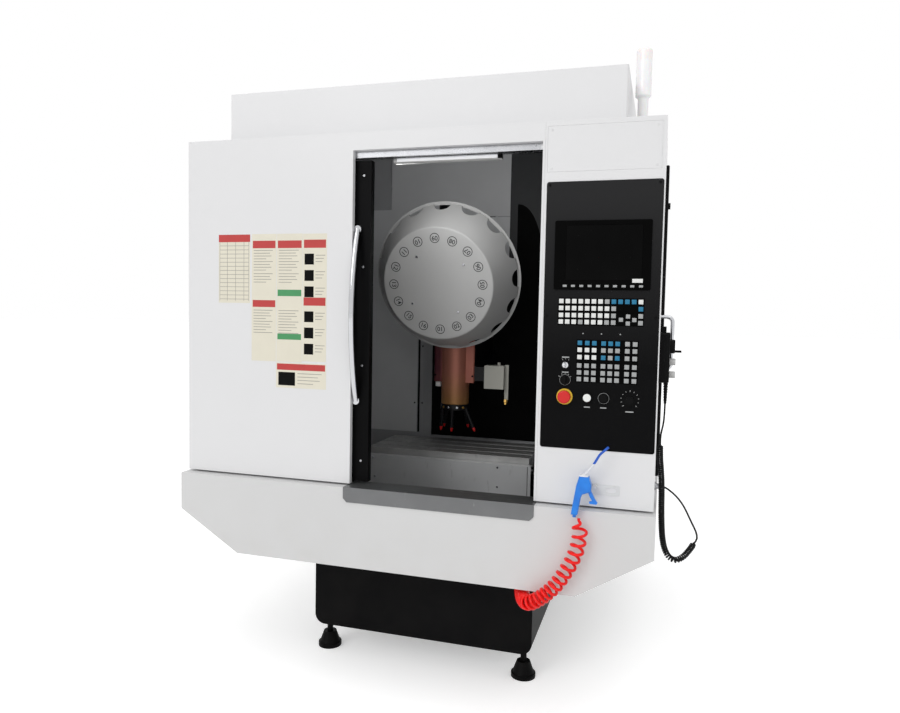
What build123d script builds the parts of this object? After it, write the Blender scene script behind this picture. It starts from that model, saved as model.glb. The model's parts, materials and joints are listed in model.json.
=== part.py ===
from build123d import *

import math
import os

os.makedirs("parts", exist_ok=True)

# Drilling and tapping centre, a small CNC milling machine, standing on four levelling feet.
# X runs to the operator's right, Y runs into the machine, Z up. The origin is on the floor,
# in the middle of the four feet. All sizes are in millimetres.

# Stance and bed
foot_inset_x = 40
foot_span_y = 1530
foot_inset_y = 60
foot_pad_d = 96
foot_pad_rim = 16
foot_cone_top_d = 52
foot_cone_height = 46
foot_bolt_d = 24
bed_width = 910
bed_bottom = 112
bed_top = 560
bed_corner_r = 42
bed_setback = 250
way_pad_height = 25
column_seat_height = 40

# Cabin front
cabin_width = 1768
sill_height = 774
front_top = 2048
left_panel_width = 690
opening_width = 684
jamb_width = 8
header_height = 62
sheet = 3
front_fold = 20
seam = 0.5
apron_gap = 3

# Lower shell, with its apron in front of the cabin
apron_proud = 38
apron_overhang = 8
apron_side_height = 142
apron_rise = 151
apron_chamfer_run = 250
shell_wall = 4
shell_length = 1740
bed_clearance = 5

# Cabin behind the front
cabin_depth = 1740
hood_left = 754
hood_setback = 85
hood_length = 1245
hood_height = 195
liner_half_width = 690
liner_front = 68
liner_back = 1070
liner_top = 2045
liner_foot = 514

# Console
console_depth = 200
console_front_wall = 6
panel_left_border = 9
panel_width = 373
panel_bottom = 966
panel_height = 884
panel_thickness = 4
panel_proud = 1.5
panel_corner_r = 8
rebate = 12
cover_width = 365
cover_height = 149
cover_bottom = 1883
cover_left_border = 8

# Display unit and key pads
display_width = 310
display_height = 226
display_bottom = 1496
display_left = 539
display_flange = 6
display_body_depth = 64
display_body_inset = 8
screen_width = 244
screen_height = 179
screen_left = 577
screen_bottom = 1527
screen_thickness = 1.6
screen_recess = 2.4
soft_key_pitch = 26.2
pad_sheet = 0.8
key_rise = 2.2
key_pitch = 21.3
key_size = 16
upper_key_left = 566
upper_key_rows = [1458, 1435, 1412, 1390]
lower_key_columns = [631, 655, 678, 708, 730.5, 753, 784, 808]
lower_key_rows = [1321, 1298, 1274, 1246, 1223, 1201]

# Operating switches on the panel: places across, and the button row's rise above the panel's
# lower edge, with the other two above that row
switch_left = 585
button_row_rise = 174
selector_rise = 56
key_switch_rise = 106
start_across = 660
hold_across = 713
override_across = 797
barrel_d = 22
barrel_length = 34
contact_block = 30
contact_block_depth = 26
stem_d = 12
stem_length = 24
running_clearance = 0.05
travel_clearance = 0.4

# Sliding door
door_width = 740
door_thickness = 30
door_setback = 28
door_bottom = 782
door_top = 1954
stile = 98
door_rail_height = 206
pane_rebate = 10
pane_thickness = 8
pane_clearance = 0.2
handle_d = 20
handle_bottom = 1083
handle_top = 1707
handle_bow = 60
handle_gap = 4
handle_foot_d = 28
handle_foot_height = 11
track_front = 20
track_bottom = 1962
track_height = 28
track_depth = 46
track_wall = 4
track_slot = 14
carriage_length = 90
carriage_clearance = 0.3
track_flange_top = 2030

# Table, saddle and ways
table_length = 720
table_depth = 330
table_top = 812
table_thickness = 55
table_x = 15
table_setback = 706
slot_pitch = 90
slot_width = 14
slot_depth = 24
slot_foot_width = 24
slot_foot_height = 10
rail_width = 30
rail_height = 28
block_width = 60
block_length = 100
block_height = 38
x_rail_spacing = 220
x_block_spacing = 340
saddle_length = 970
saddle_thickness = 72
y_rail_spacing = 340
y_block_spacing = 210
y_rail_length = 690
y_rail_setback = 400
screw_d = 28
screw_trough = 66
nut_width = 60
saddle_cover_setback = 500
saddle_cover_bottom = 651
saddle_cover_top = 786
saddle_cover_length = 750
motor_size = 80
motor_length = 140

# Column and spindle head
spindle_x = -8
spindle_setback = 738
column_setback = 1170
column_width = 440
column_foot_depth = 390
column_head_depth = 290
column_top = 1800
arch_width = 190
arch_height = 190
z_rail_spacing = 300
z_rail_bottom = 1050
z_rail_top = 1780
head_width = 190
head_bottom = 1100
head_top = 1432
head_front = 30
head_plate_width = 370
head_plate_thickness = 35
head_plate_bottom = 1112
head_plate_top = 1482
z_block_spacing = 250
housing_d = 126
spindle_nose_d = 108
spindle_nose_height = 12
spindle_bottom = 1000
spindle_shaft_d = 70
taper_large_d = 31.75
taper_length = 48
taper_ratio = 7 / 24
spindle_motor_size = 152
spindle_motor_height = 268
z_screw_offset = 22
motor_plate_thickness = 30
motor_plate_reach = 96
z_motor_size = 124
z_motor_height = 176

# Tool magazine
magazine_tilt = 15
magazine_setback = 584
magazine_height = 1567
pocket_count = 16
cover_rim_r = 312
cover_flange_r = 322
cover_flange = 3
cover_face_r = 236
cover_depth = 150
cover_wall = 5
scallop_r = 37
scallop_reach = 48
carrier_r = 205
carrier_thickness = 10
carrier_lift = 22
arm_width = 46
arm_thickness = 14
arm_reach = 276
fork_gap = 30
hub_r = 58
hub_shaft_d = 50
bracket_plate_setback = 634
bracket_plate = 18
bracket_bottom = 1470
bracket_top = 1752
bracket_arm_height = 90
bracket_arm_thickness = 15
index_motor_d = 92
index_motor_height = 130

# Blow gun, hose and pendant on the outside
hook_width = 128
hook_height = 34
hook_left = 647
hook_bottom = 818
hook_thickness = 2
hook_pin_d = 8
hook_pin_x = 664
hook_pin_height = 848
hook_pin_length = 54
gun_back = 46
gun_thickness = 28
gun_rest = 0.3
side_cover_front = 210
side_cover_length = 760
side_cover_bottom = 849
side_cover_height = 1086
side_cover_thickness = 11
pendant_setback = 100
hanger_setback = 150
hanger_d = 13
hanger_top = 1412
hanger_length = 176
hanger_reach = 39
hanger_bend = 18
pendant_thickness = 33
pendant_width = 78
pendant_height = 166
pendant_bottom = 1194
relief_length = 72
relief_ribs = 7
wheel_d = 46
wheel_thickness = 16
wheel_height = 1314
crank_r = 16
pendant_knob_d = 23
pendant_knob_length = 19
axis_knob_height = 1263
step_knob_height = 1220
control_shaft_d = 8
cable_d = 6
coil_d = 22
connector_length = 16
connector_height = 836
hose_coil_d = 54

# Rear electrical cabinet
cabinet_width = 1040
cabinet_bottom = 620
cabinet_height = 1330
cabinet_depth = 360
cabinet_wall = 3
cabinet_door_thickness = 22
hinge_pin_d = 8
hinge_length = 60
hinge_offset = 13

# Stack light
light_x = 795
light_setback = 300
light_base_d = 62
light_base_height = 16
light_neck_d = 37
light_neck_top = 2196
light_body_d = 55
light_top = 2363

# Places that follow from the sizes above
bed_length = foot_span_y + 2 * foot_inset_y
foot_span_x = bed_width - 2 * foot_inset_x
bed_front = -bed_length / 2
front_y = bed_front - bed_setback
cabin_right = cabin_width / 2
opening_left = -cabin_right + left_panel_width
opening_right = opening_left + opening_width
console_left = opening_right + jamb_width
panel_foot = sill_height + apron_gap
apron_top = sill_height - 4
apron_half = cabin_right + apron_overhang
apron_bend = apron_top - apron_side_height
apron_bottom = apron_bend - apron_rise
apron_y = front_y - apron_proud
cabin_rear = front_y + cabin_depth
panel_left = console_left + panel_left_border
panel_right = panel_left + panel_width
panel_face = front_y - panel_proud
button_row_height = panel_bottom + button_row_rise
selector_height = button_row_height + selector_rise
key_switch_height = button_row_height + key_switch_rise
door_y = front_y + door_setback
door_right = opening_left + 60
door_left = door_right - door_width
table_y = front_y + table_setback
spindle_y = front_y + spindle_setback
column_y = front_y + column_setback
way_top = bed_top + way_pad_height
column_seat = bed_top + column_seat_height
saddle_bottom = way_top + rail_height + block_height - 25
saddle_top = saddle_bottom + saddle_thickness
table_bottom = table_top - table_thickness
side_face = cabin_right + side_cover_thickness
pendant_y = front_y + pendant_setback


def facing(depth):
    """A plane that faces the operator at the given depth; its Y is the machine's Z."""
    return Plane.XZ.offset(-depth)


def block(across, along, up, mode=Mode.ADD):
    """A square block between two values on each axis."""
    middle = [(low + high) / 2 for low, high in (across, along, up)]
    with Locations(tuple(middle)):
        Box(across[1] - across[0], along[1] - along[0], up[1] - up[0], mode=mode)


def spread(middle, width):
    """The two ends of a width about its middle."""
    return (middle - width / 2, middle + width / 2)


# Bed casting: rounded lower corners, a pad under each pair of rails and the seat of the column.
# The long way screw runs in two bearing lugs between the rails.
y_screw_height = way_top + 20
y_lug_front = front_y + y_rail_setback - 6
y_lug_rear = column_y - 40
lug_length = 30
with BuildPart() as bed:
    with BuildSketch(facing(bed_front)):
        with BuildLine():
            half = bed_width / 2
            FilletPolyline(
                (-half, bed_top), (-half, bed_bottom), (half, bed_bottom), (half, bed_top),
                radius=bed_corner_r,
            )
            Line((half, bed_top), (-half, bed_top))
        make_face()
    extrude(amount=-bed_length)
    for side in (-1, 1):
        rail_x = side * y_rail_spacing / 2
        block(spread(rail_x, 80), (front_y + y_rail_setback - 20, column_y + 60), (bed_top, way_top))
    block(
        spread(spindle_x, column_width + 40),
        spread(column_y + column_foot_depth / 2, column_foot_depth + 40), (bed_top, column_seat),
    )
    block(spread(0, arch_width), (column_y - 60, column_y + 240), (bed_top, column_seat + 1), Mode.SUBTRACT)
    for lug_y in (y_lug_front, y_lug_rear):
        block(spread(0, 70), (lug_y, lug_y + lug_length), (bed_top, y_screw_height + 18))
    with Locations(facing(y_lug_front).location * Location((0, y_screw_height, 0))):
        Hole(screw_d / 2 + running_clearance, depth=y_lug_rear - y_lug_front + lug_length)
bed.part.label = "bed"
export_step(bed.part, "parts/bed.step")

# Levelling feet: a cone pad with a rim, a levelling bolt and its lock nut at each corner.
foot_y = bed_front + foot_inset_y
foot_places = [(x, y) for x in spread(0, foot_span_x) for y in (foot_y, -foot_y)]
nut_height = 14
cone_top = foot_pad_rim + foot_cone_height
with BuildPart() as levelling_feet:
    for foot_place in foot_places:
        with Locations(foot_place):
            Cylinder(foot_pad_d / 2, foot_pad_rim, align=(Align.CENTER, Align.CENTER, Align.MIN))
        with Locations((foot_place[0], foot_place[1], foot_pad_rim)):
            Cone(
                foot_pad_d / 2 - 5, foot_cone_top_d / 2, foot_cone_height,
                align=(Align.CENTER, Align.CENTER, Align.MIN),
            )
        with Locations((foot_place[0], foot_place[1], cone_top)):
            Cylinder(foot_bolt_d / 2, bed_bottom - cone_top, align=(Align.CENTER, Align.CENTER, Align.MIN))
        with BuildSketch(Plane.XY.offset(bed_bottom - nut_height)):
            with Locations(foot_place):
                RegularPolygon(foot_bolt_d * 0.85, 6)
        extrude(amount=nut_height)
levelling_feet.part.label = "levelling_feet"
export_step(levelling_feet.part, "parts/levelling_feet.step")

# Lower shell: a welded trough with slanted lower corners. Its front wall is the apron, and
# the bed stands up through its floor. Four tabs hold it to the bed, and a rail along each side
# carries the cabin.
trough = [
    (-apron_half, apron_top), (-apron_half, apron_bend), (-apron_half + apron_chamfer_run, apron_bottom),
    (apron_half - apron_chamfer_run, apron_bottom), (apron_half, apron_bend), (apron_half, apron_top),
]
ledge = apron_overhang + sheet + 20
with BuildPart() as lower_shell:
    with BuildSketch(facing(apron_y)):
        with BuildLine():
            Polyline(*trough, close=True)
        make_face()
    extrude(amount=-(shell_length + apron_proud))
    with BuildSketch(facing(apron_y + shell_wall)):
        with BuildLine():
            Polyline(*trough, close=True)
        make_face()
        offset(amount=-shell_wall, kind=Kind.INTERSECTION)
    extrude(amount=-(shell_length + apron_proud - 2 * shell_wall), mode=Mode.SUBTRACT)
    block(
        spread(0, 2 * (apron_half - ledge)), (front_y + 24, front_y + shell_length - shell_wall - 20),
        (apron_top - 2 * shell_wall, apron_top + 1), Mode.SUBTRACT,
    )
    block(
        spread(0, bed_width + 2 * bed_clearance),
        (bed_front - bed_clearance, front_y + shell_length + 1),
        (apron_bottom - 1, bed_top + 60), Mode.SUBTRACT,
    )
    for side in (-1, 1):
        for tab_y in spread(0, bed_length * 0.6):
            block(
                spread(side * (bed_width / 2 + 25), 50), spread(tab_y, 70),
                (apron_bottom, apron_bottom + 2 * shell_wall),
            )
        block(
            spread(side * (cabin_right - 12), 10), (front_y + 40, cabin_rear - 40),
            (apron_top - 2 * shell_wall, panel_foot),
        )
lower_shell.part.label = "lower_shell"
export_step(lower_shell.part, "parts/lower_shell.step")

# Sill plate: a steel cover bent over the apron's top edge under the door opening.
sill_left = opening_left - 7
sill_right = console_left
sill_drop = 52
sill_inside = 70
with BuildPart() as sill_plate:
    with BuildSketch(Plane.YZ.offset(sill_left)):
        with BuildLine():
            Polyline(
                (apron_y - sheet, apron_top + sheet), (front_y + sill_inside, apron_top + sheet),
                (front_y + sill_inside, apron_top - 34), (front_y + sill_inside - sheet, apron_top - 34),
                (front_y + sill_inside - sheet, apron_top), (apron_y, apron_top),
                (apron_y, apron_top - sill_drop), (apron_y - sheet, apron_top - sill_drop),
                close=True,
            )
        make_face()
    extrude(amount=sill_right - sill_left)
    lower_edges = sill_plate.edges().filter_by(Axis.Y).group_by(Axis.Z)[0]
    chamfer(lower_edges, 14)
sill_plate.part.label = "sill_plate"
export_step(sill_plate.part, "parts/sill_plate.step")

# Front frame: one folded sheet makes the left panel, the header and a narrow jamb.
header_bottom = front_top - header_height
with BuildPart() as front_frame:
    with BuildSketch(facing(front_y)):
        with BuildLine():
            Polyline(
                (-cabin_right, panel_foot), (-cabin_right, front_top), (console_left, front_top),
                (console_left, panel_foot), (opening_right, panel_foot), (opening_right, header_bottom),
                (opening_left, header_bottom), (opening_left, panel_foot),
                close=True,
            )
        make_face()
    extrude(amount=-front_fold)
    block(
        (-cabin_right + sheet, opening_left - sheet), (front_y + sheet, front_y + front_fold + 1),
        (panel_foot + sheet, front_top - sheet), Mode.SUBTRACT,
    )
    block(
        (opening_left - 2 * sheet, console_left - sheet), (front_y + sheet, front_y + front_fold + 1),
        (header_bottom + sheet, front_top - sheet), Mode.SUBTRACT,
    )
front_frame.part.label = "front_frame"
export_step(front_frame.part, "parts/front_frame.step")

# Console housing: a deep box beside the door opening, open at its back, with a rebated window
# for the control panel and one for the screwed cover above it.
console_x = (console_left + seam, cabin_right)
cover_left = console_left + cover_left_border
panel_window = (panel_left + rebate, panel_right - rebate)
with BuildPart() as console_housing:
    block(console_x, (front_y, front_y + console_depth), (panel_foot, front_top))
    block(
        (console_x[0] + sheet, console_x[1] - sheet),
        (front_y + console_front_wall, front_y + console_depth + 1),
        (panel_foot + sheet, front_top - sheet), Mode.SUBTRACT,
    )
    with BuildSketch(facing(front_y)):
        with Locations(((panel_left + panel_right) / 2, panel_bottom + panel_height / 2)):
            RectangleRounded(panel_width + 2 * seam, panel_height + 2 * seam, panel_corner_r + seam)
    extrude(amount=-(panel_thickness - panel_proud), mode=Mode.SUBTRACT)
    block(
        panel_window, (front_y - 1, front_y + console_front_wall + 1),
        (panel_bottom + rebate, panel_bottom + panel_height - rebate), Mode.SUBTRACT,
    )
    block(
        (cover_left - seam, cover_left + cover_width + seam), (front_y - 1, front_y + sheet),
        (cover_bottom - seam, cover_bottom + cover_height + seam), Mode.SUBTRACT,
    )
    block(
        (cover_left + rebate, cover_left + cover_width - rebate),
        (front_y - 1, front_y + console_front_wall + 1),
        (cover_bottom + rebate, cover_bottom + cover_height - rebate), Mode.SUBTRACT,
    )
console_housing.part.label = "console_housing"
export_step(console_housing.part, "parts/console_housing.step")

# Console cover: the flat plate over the wiring space above the control panel.
with BuildPart() as console_cover:
    with BuildSketch(facing(front_y)):
        with Locations((cover_left + cover_width / 2, cover_bottom + cover_height / 2)):
            Rectangle(cover_width, cover_height)
    extrude(amount=-sheet)
console_cover.part.label = "console_cover"
export_step(console_cover.part, "parts/console_cover.step")

# Control panel: the black plate, cut out for the display unit and drilled for the switches.
switches = {
    "key": (switch_left, key_switch_height),
    "selector": (switch_left, selector_height),
    "stop": (switch_left, button_row_height),
    "start": (start_across, button_row_height),
    "hold": (hold_across, button_row_height),
    "override": (override_across, button_row_height),
}
display_x = display_left + display_width / 2
display_z = display_bottom + display_height / 2
with BuildPart() as control_panel:
    with BuildSketch(facing(panel_face)):
        with Locations(((panel_left + panel_right) / 2, panel_bottom + panel_height / 2)):
            RectangleRounded(panel_width, panel_height, panel_corner_r)
        with Locations((display_x, display_z)):
            Rectangle(
                display_width - 2 * display_body_inset + 2, display_height - 2 * display_body_inset + 2,
                mode=Mode.SUBTRACT,
            )
        with Locations(*switches.values()):
            Circle(barrel_d / 2 + travel_clearance / 2, mode=Mode.SUBTRACT)
    extrude(amount=-panel_thickness)
control_panel.part.label = "control_panel"
export_step(control_panel.part, "parts/control_panel.step")

# Display unit: a moulded frame with a sunk window, a row of soft keys under it and a deep body.
with BuildPart() as display_unit:
    with BuildSketch(facing(panel_face)):
        with Locations((display_x, display_z)):
            RectangleRounded(display_width, display_height, 5)
    extrude(amount=display_flange)
    chamfer(display_unit.faces().sort_by(Axis.Y)[0].outer_wire().edges(), 2)
    with BuildSketch(facing(panel_face)):
        with Locations((display_x, display_z)):
            Rectangle(display_width - 2 * display_body_inset, display_height - 2 * display_body_inset)
    extrude(amount=-display_body_depth)
    with BuildSketch(facing(panel_face - display_flange)):
        with Locations((screen_left + screen_width / 2, screen_bottom + screen_height / 2)):
            Rectangle(screen_width + 2, screen_height + 2)
    extrude(amount=-screen_recess, mode=Mode.SUBTRACT)
    with BuildSketch(facing(panel_face - display_flange)):
        with Locations((display_x - 4, display_bottom + 12)):
            with GridLocations(soft_key_pitch, 1, 10, 1):
                Rectangle(14, 8)
    extrude(amount=1.2)
display_unit.part.label = "display_unit"
export_step(display_unit.part, "parts/display_unit.step")

# Display glass: lies on the floor of the sunk window.
with BuildPart() as display_glass:
    with BuildSketch(facing(panel_face - display_flange + screen_recess)):
        with Locations((screen_left + screen_width / 2, screen_bottom + screen_height / 2)):
            Rectangle(screen_width, screen_height)
    extrude(amount=screen_thickness)
display_glass.part.label = "display_glass"
export_step(display_glass.part, "parts/display_glass.step")

# Key pads: two moulded mats with raised keys, glued on the panel. Three places in the upper
# mat's right-hand end hold no key, as the arrow keys there stand half a row apart.
last_column = upper_key_left + 12 * key_pitch
upper_keys = [
    (upper_key_left + column * key_pitch, row)
    for row in upper_key_rows
    for column in range(13)
    if not (row < upper_key_rows[0] and column in (10, 11, 12))
]
arrow_keys = [
    (upper_key_left + 10 * key_pitch, (upper_key_rows[1] + upper_key_rows[2]) / 2 - 8),
    (upper_key_left + 11 * key_pitch, upper_key_rows[2]),
    (upper_key_left + 11 * key_pitch, upper_key_rows[3]),
    (last_column, upper_key_rows[1]),
    (last_column, upper_key_rows[2]),
    (last_column, upper_key_rows[3]),
]
lower_keys = [(column, row) for row in lower_key_rows for column in lower_key_columns]
with BuildPart() as key_pads:
    with BuildSketch(facing(panel_face)):
        with Locations(((upper_key_left + last_column) / 2, (upper_key_rows[0] + upper_key_rows[3]) / 2)):
            Rectangle(
                last_column - upper_key_left + key_size + 6,
                upper_key_rows[0] - upper_key_rows[3] + key_size + 6,
            )
        with Locations(
            ((lower_key_columns[0] + lower_key_columns[7]) / 2, (lower_key_rows[0] + lower_key_rows[5]) / 2)
        ):
            Rectangle(
                lower_key_columns[7] - lower_key_columns[0] + key_size + 6,
                lower_key_rows[0] - lower_key_rows[5] + key_size + 6,
            )
    extrude(amount=pad_sheet)
    with BuildSketch(facing(panel_face - pad_sheet)):
        with Locations(*upper_keys, *arrow_keys, *lower_keys):
            Rectangle(key_size, key_size)
    extrude(amount=key_rise)
key_pads.part.label = "key_pads"
export_step(key_pads.part, "parts/key_pads.step")

# Switch bodies: a collar on the panel's face, a barrel through it and a contact block behind.
collar_d = {"key": 30, "selector": 34, "stop": 40, "start": 34, "hold": 34, "override": 40}
collar_height = {"key": 3, "selector": 4, "stop": 3, "start": 5, "hold": 5, "override": 2}
stem_depth = stem_length + 8
with BuildPart() as switch_bodies:
    for name, place in switches.items():
        with BuildSketch(facing(panel_face)):
            with Locations(place):
                Circle(collar_d[name] / 2)
        extrude(amount=collar_height[name])
        with BuildSketch(facing(panel_face)):
            with Locations(place):
                Circle(barrel_d / 2)
        extrude(amount=-barrel_length)
        with BuildSketch(facing(panel_face + barrel_length)):
            with Locations(place):
                Rectangle(contact_block, contact_block)
        extrude(amount=-contact_block_depth)
        with BuildSketch(facing(panel_face - collar_height[name])):
            with Locations(place):
                Circle(stem_d / 2 + running_clearance)
        extrude(amount=-(stem_depth + collar_height[name]), mode=Mode.SUBTRACT)
switch_bodies.part.label = "switch_bodies"
export_step(switch_bodies.part, "parts/switch_bodies.step")


def stem(name, gap):
    """The round stem of a switch head, from just off its collar into the barrel."""
    with BuildSketch(facing(panel_face - collar_height[name] - gap)) as section:
        with Locations(switches[name]):
            Circle(stem_d / 2)
    extrude(section.sketch, amount=-(stem_length + gap))


# Emergency stop: a domed mushroom head, turned, on its stem. It is pressed in by 6 mm.
stop_travel = 6
stop_gap = stop_travel + 0.5
stop_face = panel_face - collar_height["stop"] - stop_gap
with BuildPart() as emergency_stop:
    stem("stop", stop_gap)
    with BuildSketch(facing(stop_face)):
        with Locations(switches["stop"]):
            Circle(21)
    extrude(amount=13, taper=-6)
    fillet(emergency_stop.faces().sort_by(Axis.Y)[0].edges(), 5)
emergency_stop.part.label = "emergency_stop"
export_step(emergency_stop.part, "parts/emergency_stop.step")

# Cycle start and feed hold: round caps with a softened edge, sprung, pressed in by 3 mm.
button_travel = 3
button_gap = button_travel + 0.5
with BuildPart() as start_button:
    stem("start", button_gap)
    with BuildSketch(facing(panel_face - collar_height["start"] - button_gap)):
        with Locations(switches["start"]):
            Circle(13)
    extrude(amount=5)
    fillet(start_button.faces().sort_by(Axis.Y)[0].edges(), 1.5)
start_button.part.label = "start_button"
export_step(start_button.part, "parts/start_button.step")

with BuildPart() as hold_button:
    stem("hold", button_gap)
    with BuildSketch(facing(panel_face - collar_height["hold"] - button_gap)):
        with Locations(switches["hold"]):
            Circle(13)
    extrude(amount=5)
    fillet(hold_button.faces().sort_by(Axis.Y)[0].edges(), 1.5)
hold_button.part.label = "hold_button"
export_step(hold_button.part, "parts/hold_button.step")

# Key switch: a round plug and the flat bow of its key, with a hole for the key ring.
key_face = panel_face - collar_height["key"] - travel_clearance
with BuildPart() as key_switch:
    stem("key", travel_clearance)
    with BuildSketch(facing(key_face)):
        with Locations(switches["key"]):
            Circle(10)
    extrude(amount=3)
    with BuildSketch(facing(key_face - 3)):
        with Locations(switches["key"]):
            Rectangle(2.5, 9)
    extrude(amount=6)
    with BuildSketch(Plane.YZ.offset(switch_left - 1.25)):
        with Locations((key_face - 17, key_switch_height)):
            Circle(10.5)
        with Locations((key_face - 21, key_switch_height)):
            Circle(3.2, mode=Mode.SUBTRACT)
    extrude(amount=2.5)
key_switch.part.label = "key_switch"
export_step(key_switch.part, "parts/key_switch.step")

# Mode selector: a round base with a raised handle bar across it.
selector_face = panel_face - collar_height["selector"] - travel_clearance
with BuildPart() as mode_selector:
    stem("selector", travel_clearance)
    with BuildSketch(facing(selector_face)):
        with Locations(switches["selector"]):
            Circle(14)
    extrude(amount=5)
    with BuildSketch(facing(selector_face - 5)):
        with Locations(switches["selector"]):
            SlotOverall(27, 8, rotation=90)
    extrude(amount=12)
    chamfer(mode_selector.faces().sort_by(Axis.Y)[0].edges(), 1.2)
mode_selector.part.label = "mode_selector"
export_step(mode_selector.part, "parts/mode_selector.step")

# Override knob: a skirted, fluted knob with a pointer line cut in its top.
override_face = panel_face - collar_height["override"] - travel_clearance
flutes = 12
with BuildPart() as override_knob:
    stem("override", travel_clearance)
    with BuildSketch(facing(override_face)):
        with Locations(switches["override"]):
            Circle(16)
    extrude(amount=3)
    with BuildSketch(facing(override_face - 3)):
        with Locations(switches["override"]):
            Circle(13)
            with PolarLocations(14.2, flutes):
                Circle(2.4, mode=Mode.SUBTRACT)
    extrude(amount=14)
    with BuildSketch(facing(override_face - 17)):
        with Locations((override_across, button_row_height + 6)):
            Rectangle(1.6, 10)
    extrude(amount=-1, mode=Mode.SUBTRACT)
override_knob.part.label = "override_knob"
export_step(override_knob.part, "parts/override_knob.step")

# Cabin panels: the folded side sheets, bent in at top and bottom, and the rear sheet.
panel_top = front_top - sheet
fold = 20
with BuildPart() as cabin_panels:
    for side in (-1, 1):
        start = front_y + (console_depth if side > 0 else front_fold)
        outer = side * cabin_right
        with BuildSketch(facing(start)):
            with BuildLine():
                Polyline(
                    (outer - side * fold, panel_foot), (outer, panel_foot), (outer, panel_top),
                    (outer - side * fold, panel_top), (outer - side * fold, panel_top - sheet),
                    (outer - side * sheet, panel_top - sheet), (outer - side * sheet, panel_foot + sheet),
                    (outer - side * fold, panel_foot + sheet),
                    close=True,
                )
            make_face()
        extrude(amount=-(cabin_rear - sheet - start))
    block((-cabin_right, cabin_right), (cabin_rear - sheet, cabin_rear), (panel_foot, panel_top))
cabin_panels.part.label = "cabin_panels"
export_step(cabin_panels.part, "parts/cabin_panels.step")

# Side cover: the black cover on the right-hand side, a shallow tray with a latch nub.
cover_y = (front_y + side_cover_front, front_y + side_cover_front + side_cover_length)
with BuildPart() as side_cover:
    block((cabin_right, side_face), cover_y, (side_cover_bottom, side_cover_bottom + side_cover_height))
    fillet(side_cover.edges().filter_by(Axis.X), 12)
    chamfer(side_cover.faces().sort_by(Axis.X)[-1].outer_wire().edges(), 3)
    with BuildSketch(Plane.YZ.offset(side_face)):
        with Locations((cover_y[0] + 42, side_cover_bottom + side_cover_height - 136)):
            Circle(11)
    extrude(amount=7)
side_cover.part.label = "side_cover"
export_step(side_cover.part, "parts/side_cover.step")

# Roof sheet: closes the cabin around the hood's opening.
hood_y = (front_y + hood_setback, front_y + hood_setback + hood_length)
with BuildPart() as roof:
    block((-cabin_right, cabin_right), (front_y + front_fold, cabin_rear), (panel_top, front_top))
    block(
        spread(0, 2 * hood_left - 60), (hood_y[0] + 30, hood_y[1] - 30),
        (panel_top - 1, front_top + 1), Mode.SUBTRACT,
    )
    block(
        (console_left - 1, cabin_right + 1), (front_y, front_y + console_depth),
        (panel_top - 1, front_top + 1), Mode.SUBTRACT,
    )
roof.part.label = "roof"
export_step(roof.part, "parts/roof.step")

# Hood: a folded box, open below, that clears the spindle motor at the top of its stroke.
with BuildPart() as hood:
    block(spread(0, 2 * hood_left), hood_y, (front_top, front_top + hood_height))
    fillet(hood.edges().filter_by(Axis.Z), 6)
    block(
        spread(0, 2 * (hood_left - sheet)), (hood_y[0] + sheet, hood_y[1] - sheet),
        (front_top - 1, front_top + hood_height - sheet), Mode.SUBTRACT,
    )
hood.part.label = "hood"
export_step(hood.part, "parts/hood.step")

# Work space liner: a bent sheet round three sides, slotted for the head and the magazine's
# bracket arms, and cut away over the bed.
bracket_arm_x = head_plate_width / 2 + 12
arm_middle = bracket_arm_x + bracket_arm_thickness / 2
arm_slot_z = (bracket_bottom + 60, bracket_bottom + 60 + bracket_arm_height)
liner_back_y = front_y + liner_back
with BuildPart() as liner:
    with BuildSketch(Plane.XY.offset(liner_foot)):
        with BuildLine():
            wide = liner_half_width
            Polyline(
                (-wide, front_y + liner_front), (-wide, liner_back_y), (wide, liner_back_y),
                (wide, front_y + console_depth + 4), (wide - sheet, front_y + console_depth + 4),
                (wide - sheet, liner_back_y - sheet), (-wide + sheet, liner_back_y - sheet),
                (-wide + sheet, front_y + liner_front),
                close=True,
            )
        make_face()
    extrude(amount=liner_top - liner_foot)
    back = (liner_back_y - 2 * sheet, liner_back_y + sheet)
    block(spread(spindle_x, head_width + 20), back, (head_bottom - 60, liner_top + 1), Mode.SUBTRACT)
    block(spread(0, bed_width + 10), back, (liner_foot - 1, way_top + 70), Mode.SUBTRACT)
    for side in (-1, 1):
        block(
            spread(spindle_x + side * arm_middle, bracket_arm_thickness + 12), back,
            (arm_slot_z[0] - 6, liner_top + 1), Mode.SUBTRACT,
        )
liner.part.label = "liner"
export_step(liner.part, "parts/liner.step")

# Work light: a sealed bar behind the header, hung from the roof on two lugs.
lamp_x = (-65, 334)
lamp_y = front_y + 86
lamp_z = 1962
with BuildPart() as work_light:
    with BuildSketch(Plane.YZ.offset(lamp_x[0])):
        with BuildLine():
            FilletPolyline(
                (lamp_y - 16, lamp_z + 12), (lamp_y - 16, lamp_z - 12), (lamp_y + 16, lamp_z - 12),
                (lamp_y + 16, lamp_z + 12), radius=6,
            )
            Line((lamp_y + 16, lamp_z + 12), (lamp_y - 16, lamp_z + 12))
        make_face()
    extrude(amount=lamp_x[1] - lamp_x[0])
    for lug_x in (lamp_x[0] + 40, lamp_x[1] - 40):
        block(spread(lug_x, 24), (lamp_y - 4, lamp_y), (lamp_z + 12, panel_top))
work_light.part.label = "work_light"
export_step(work_light.part, "parts/work_light.step")

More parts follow.
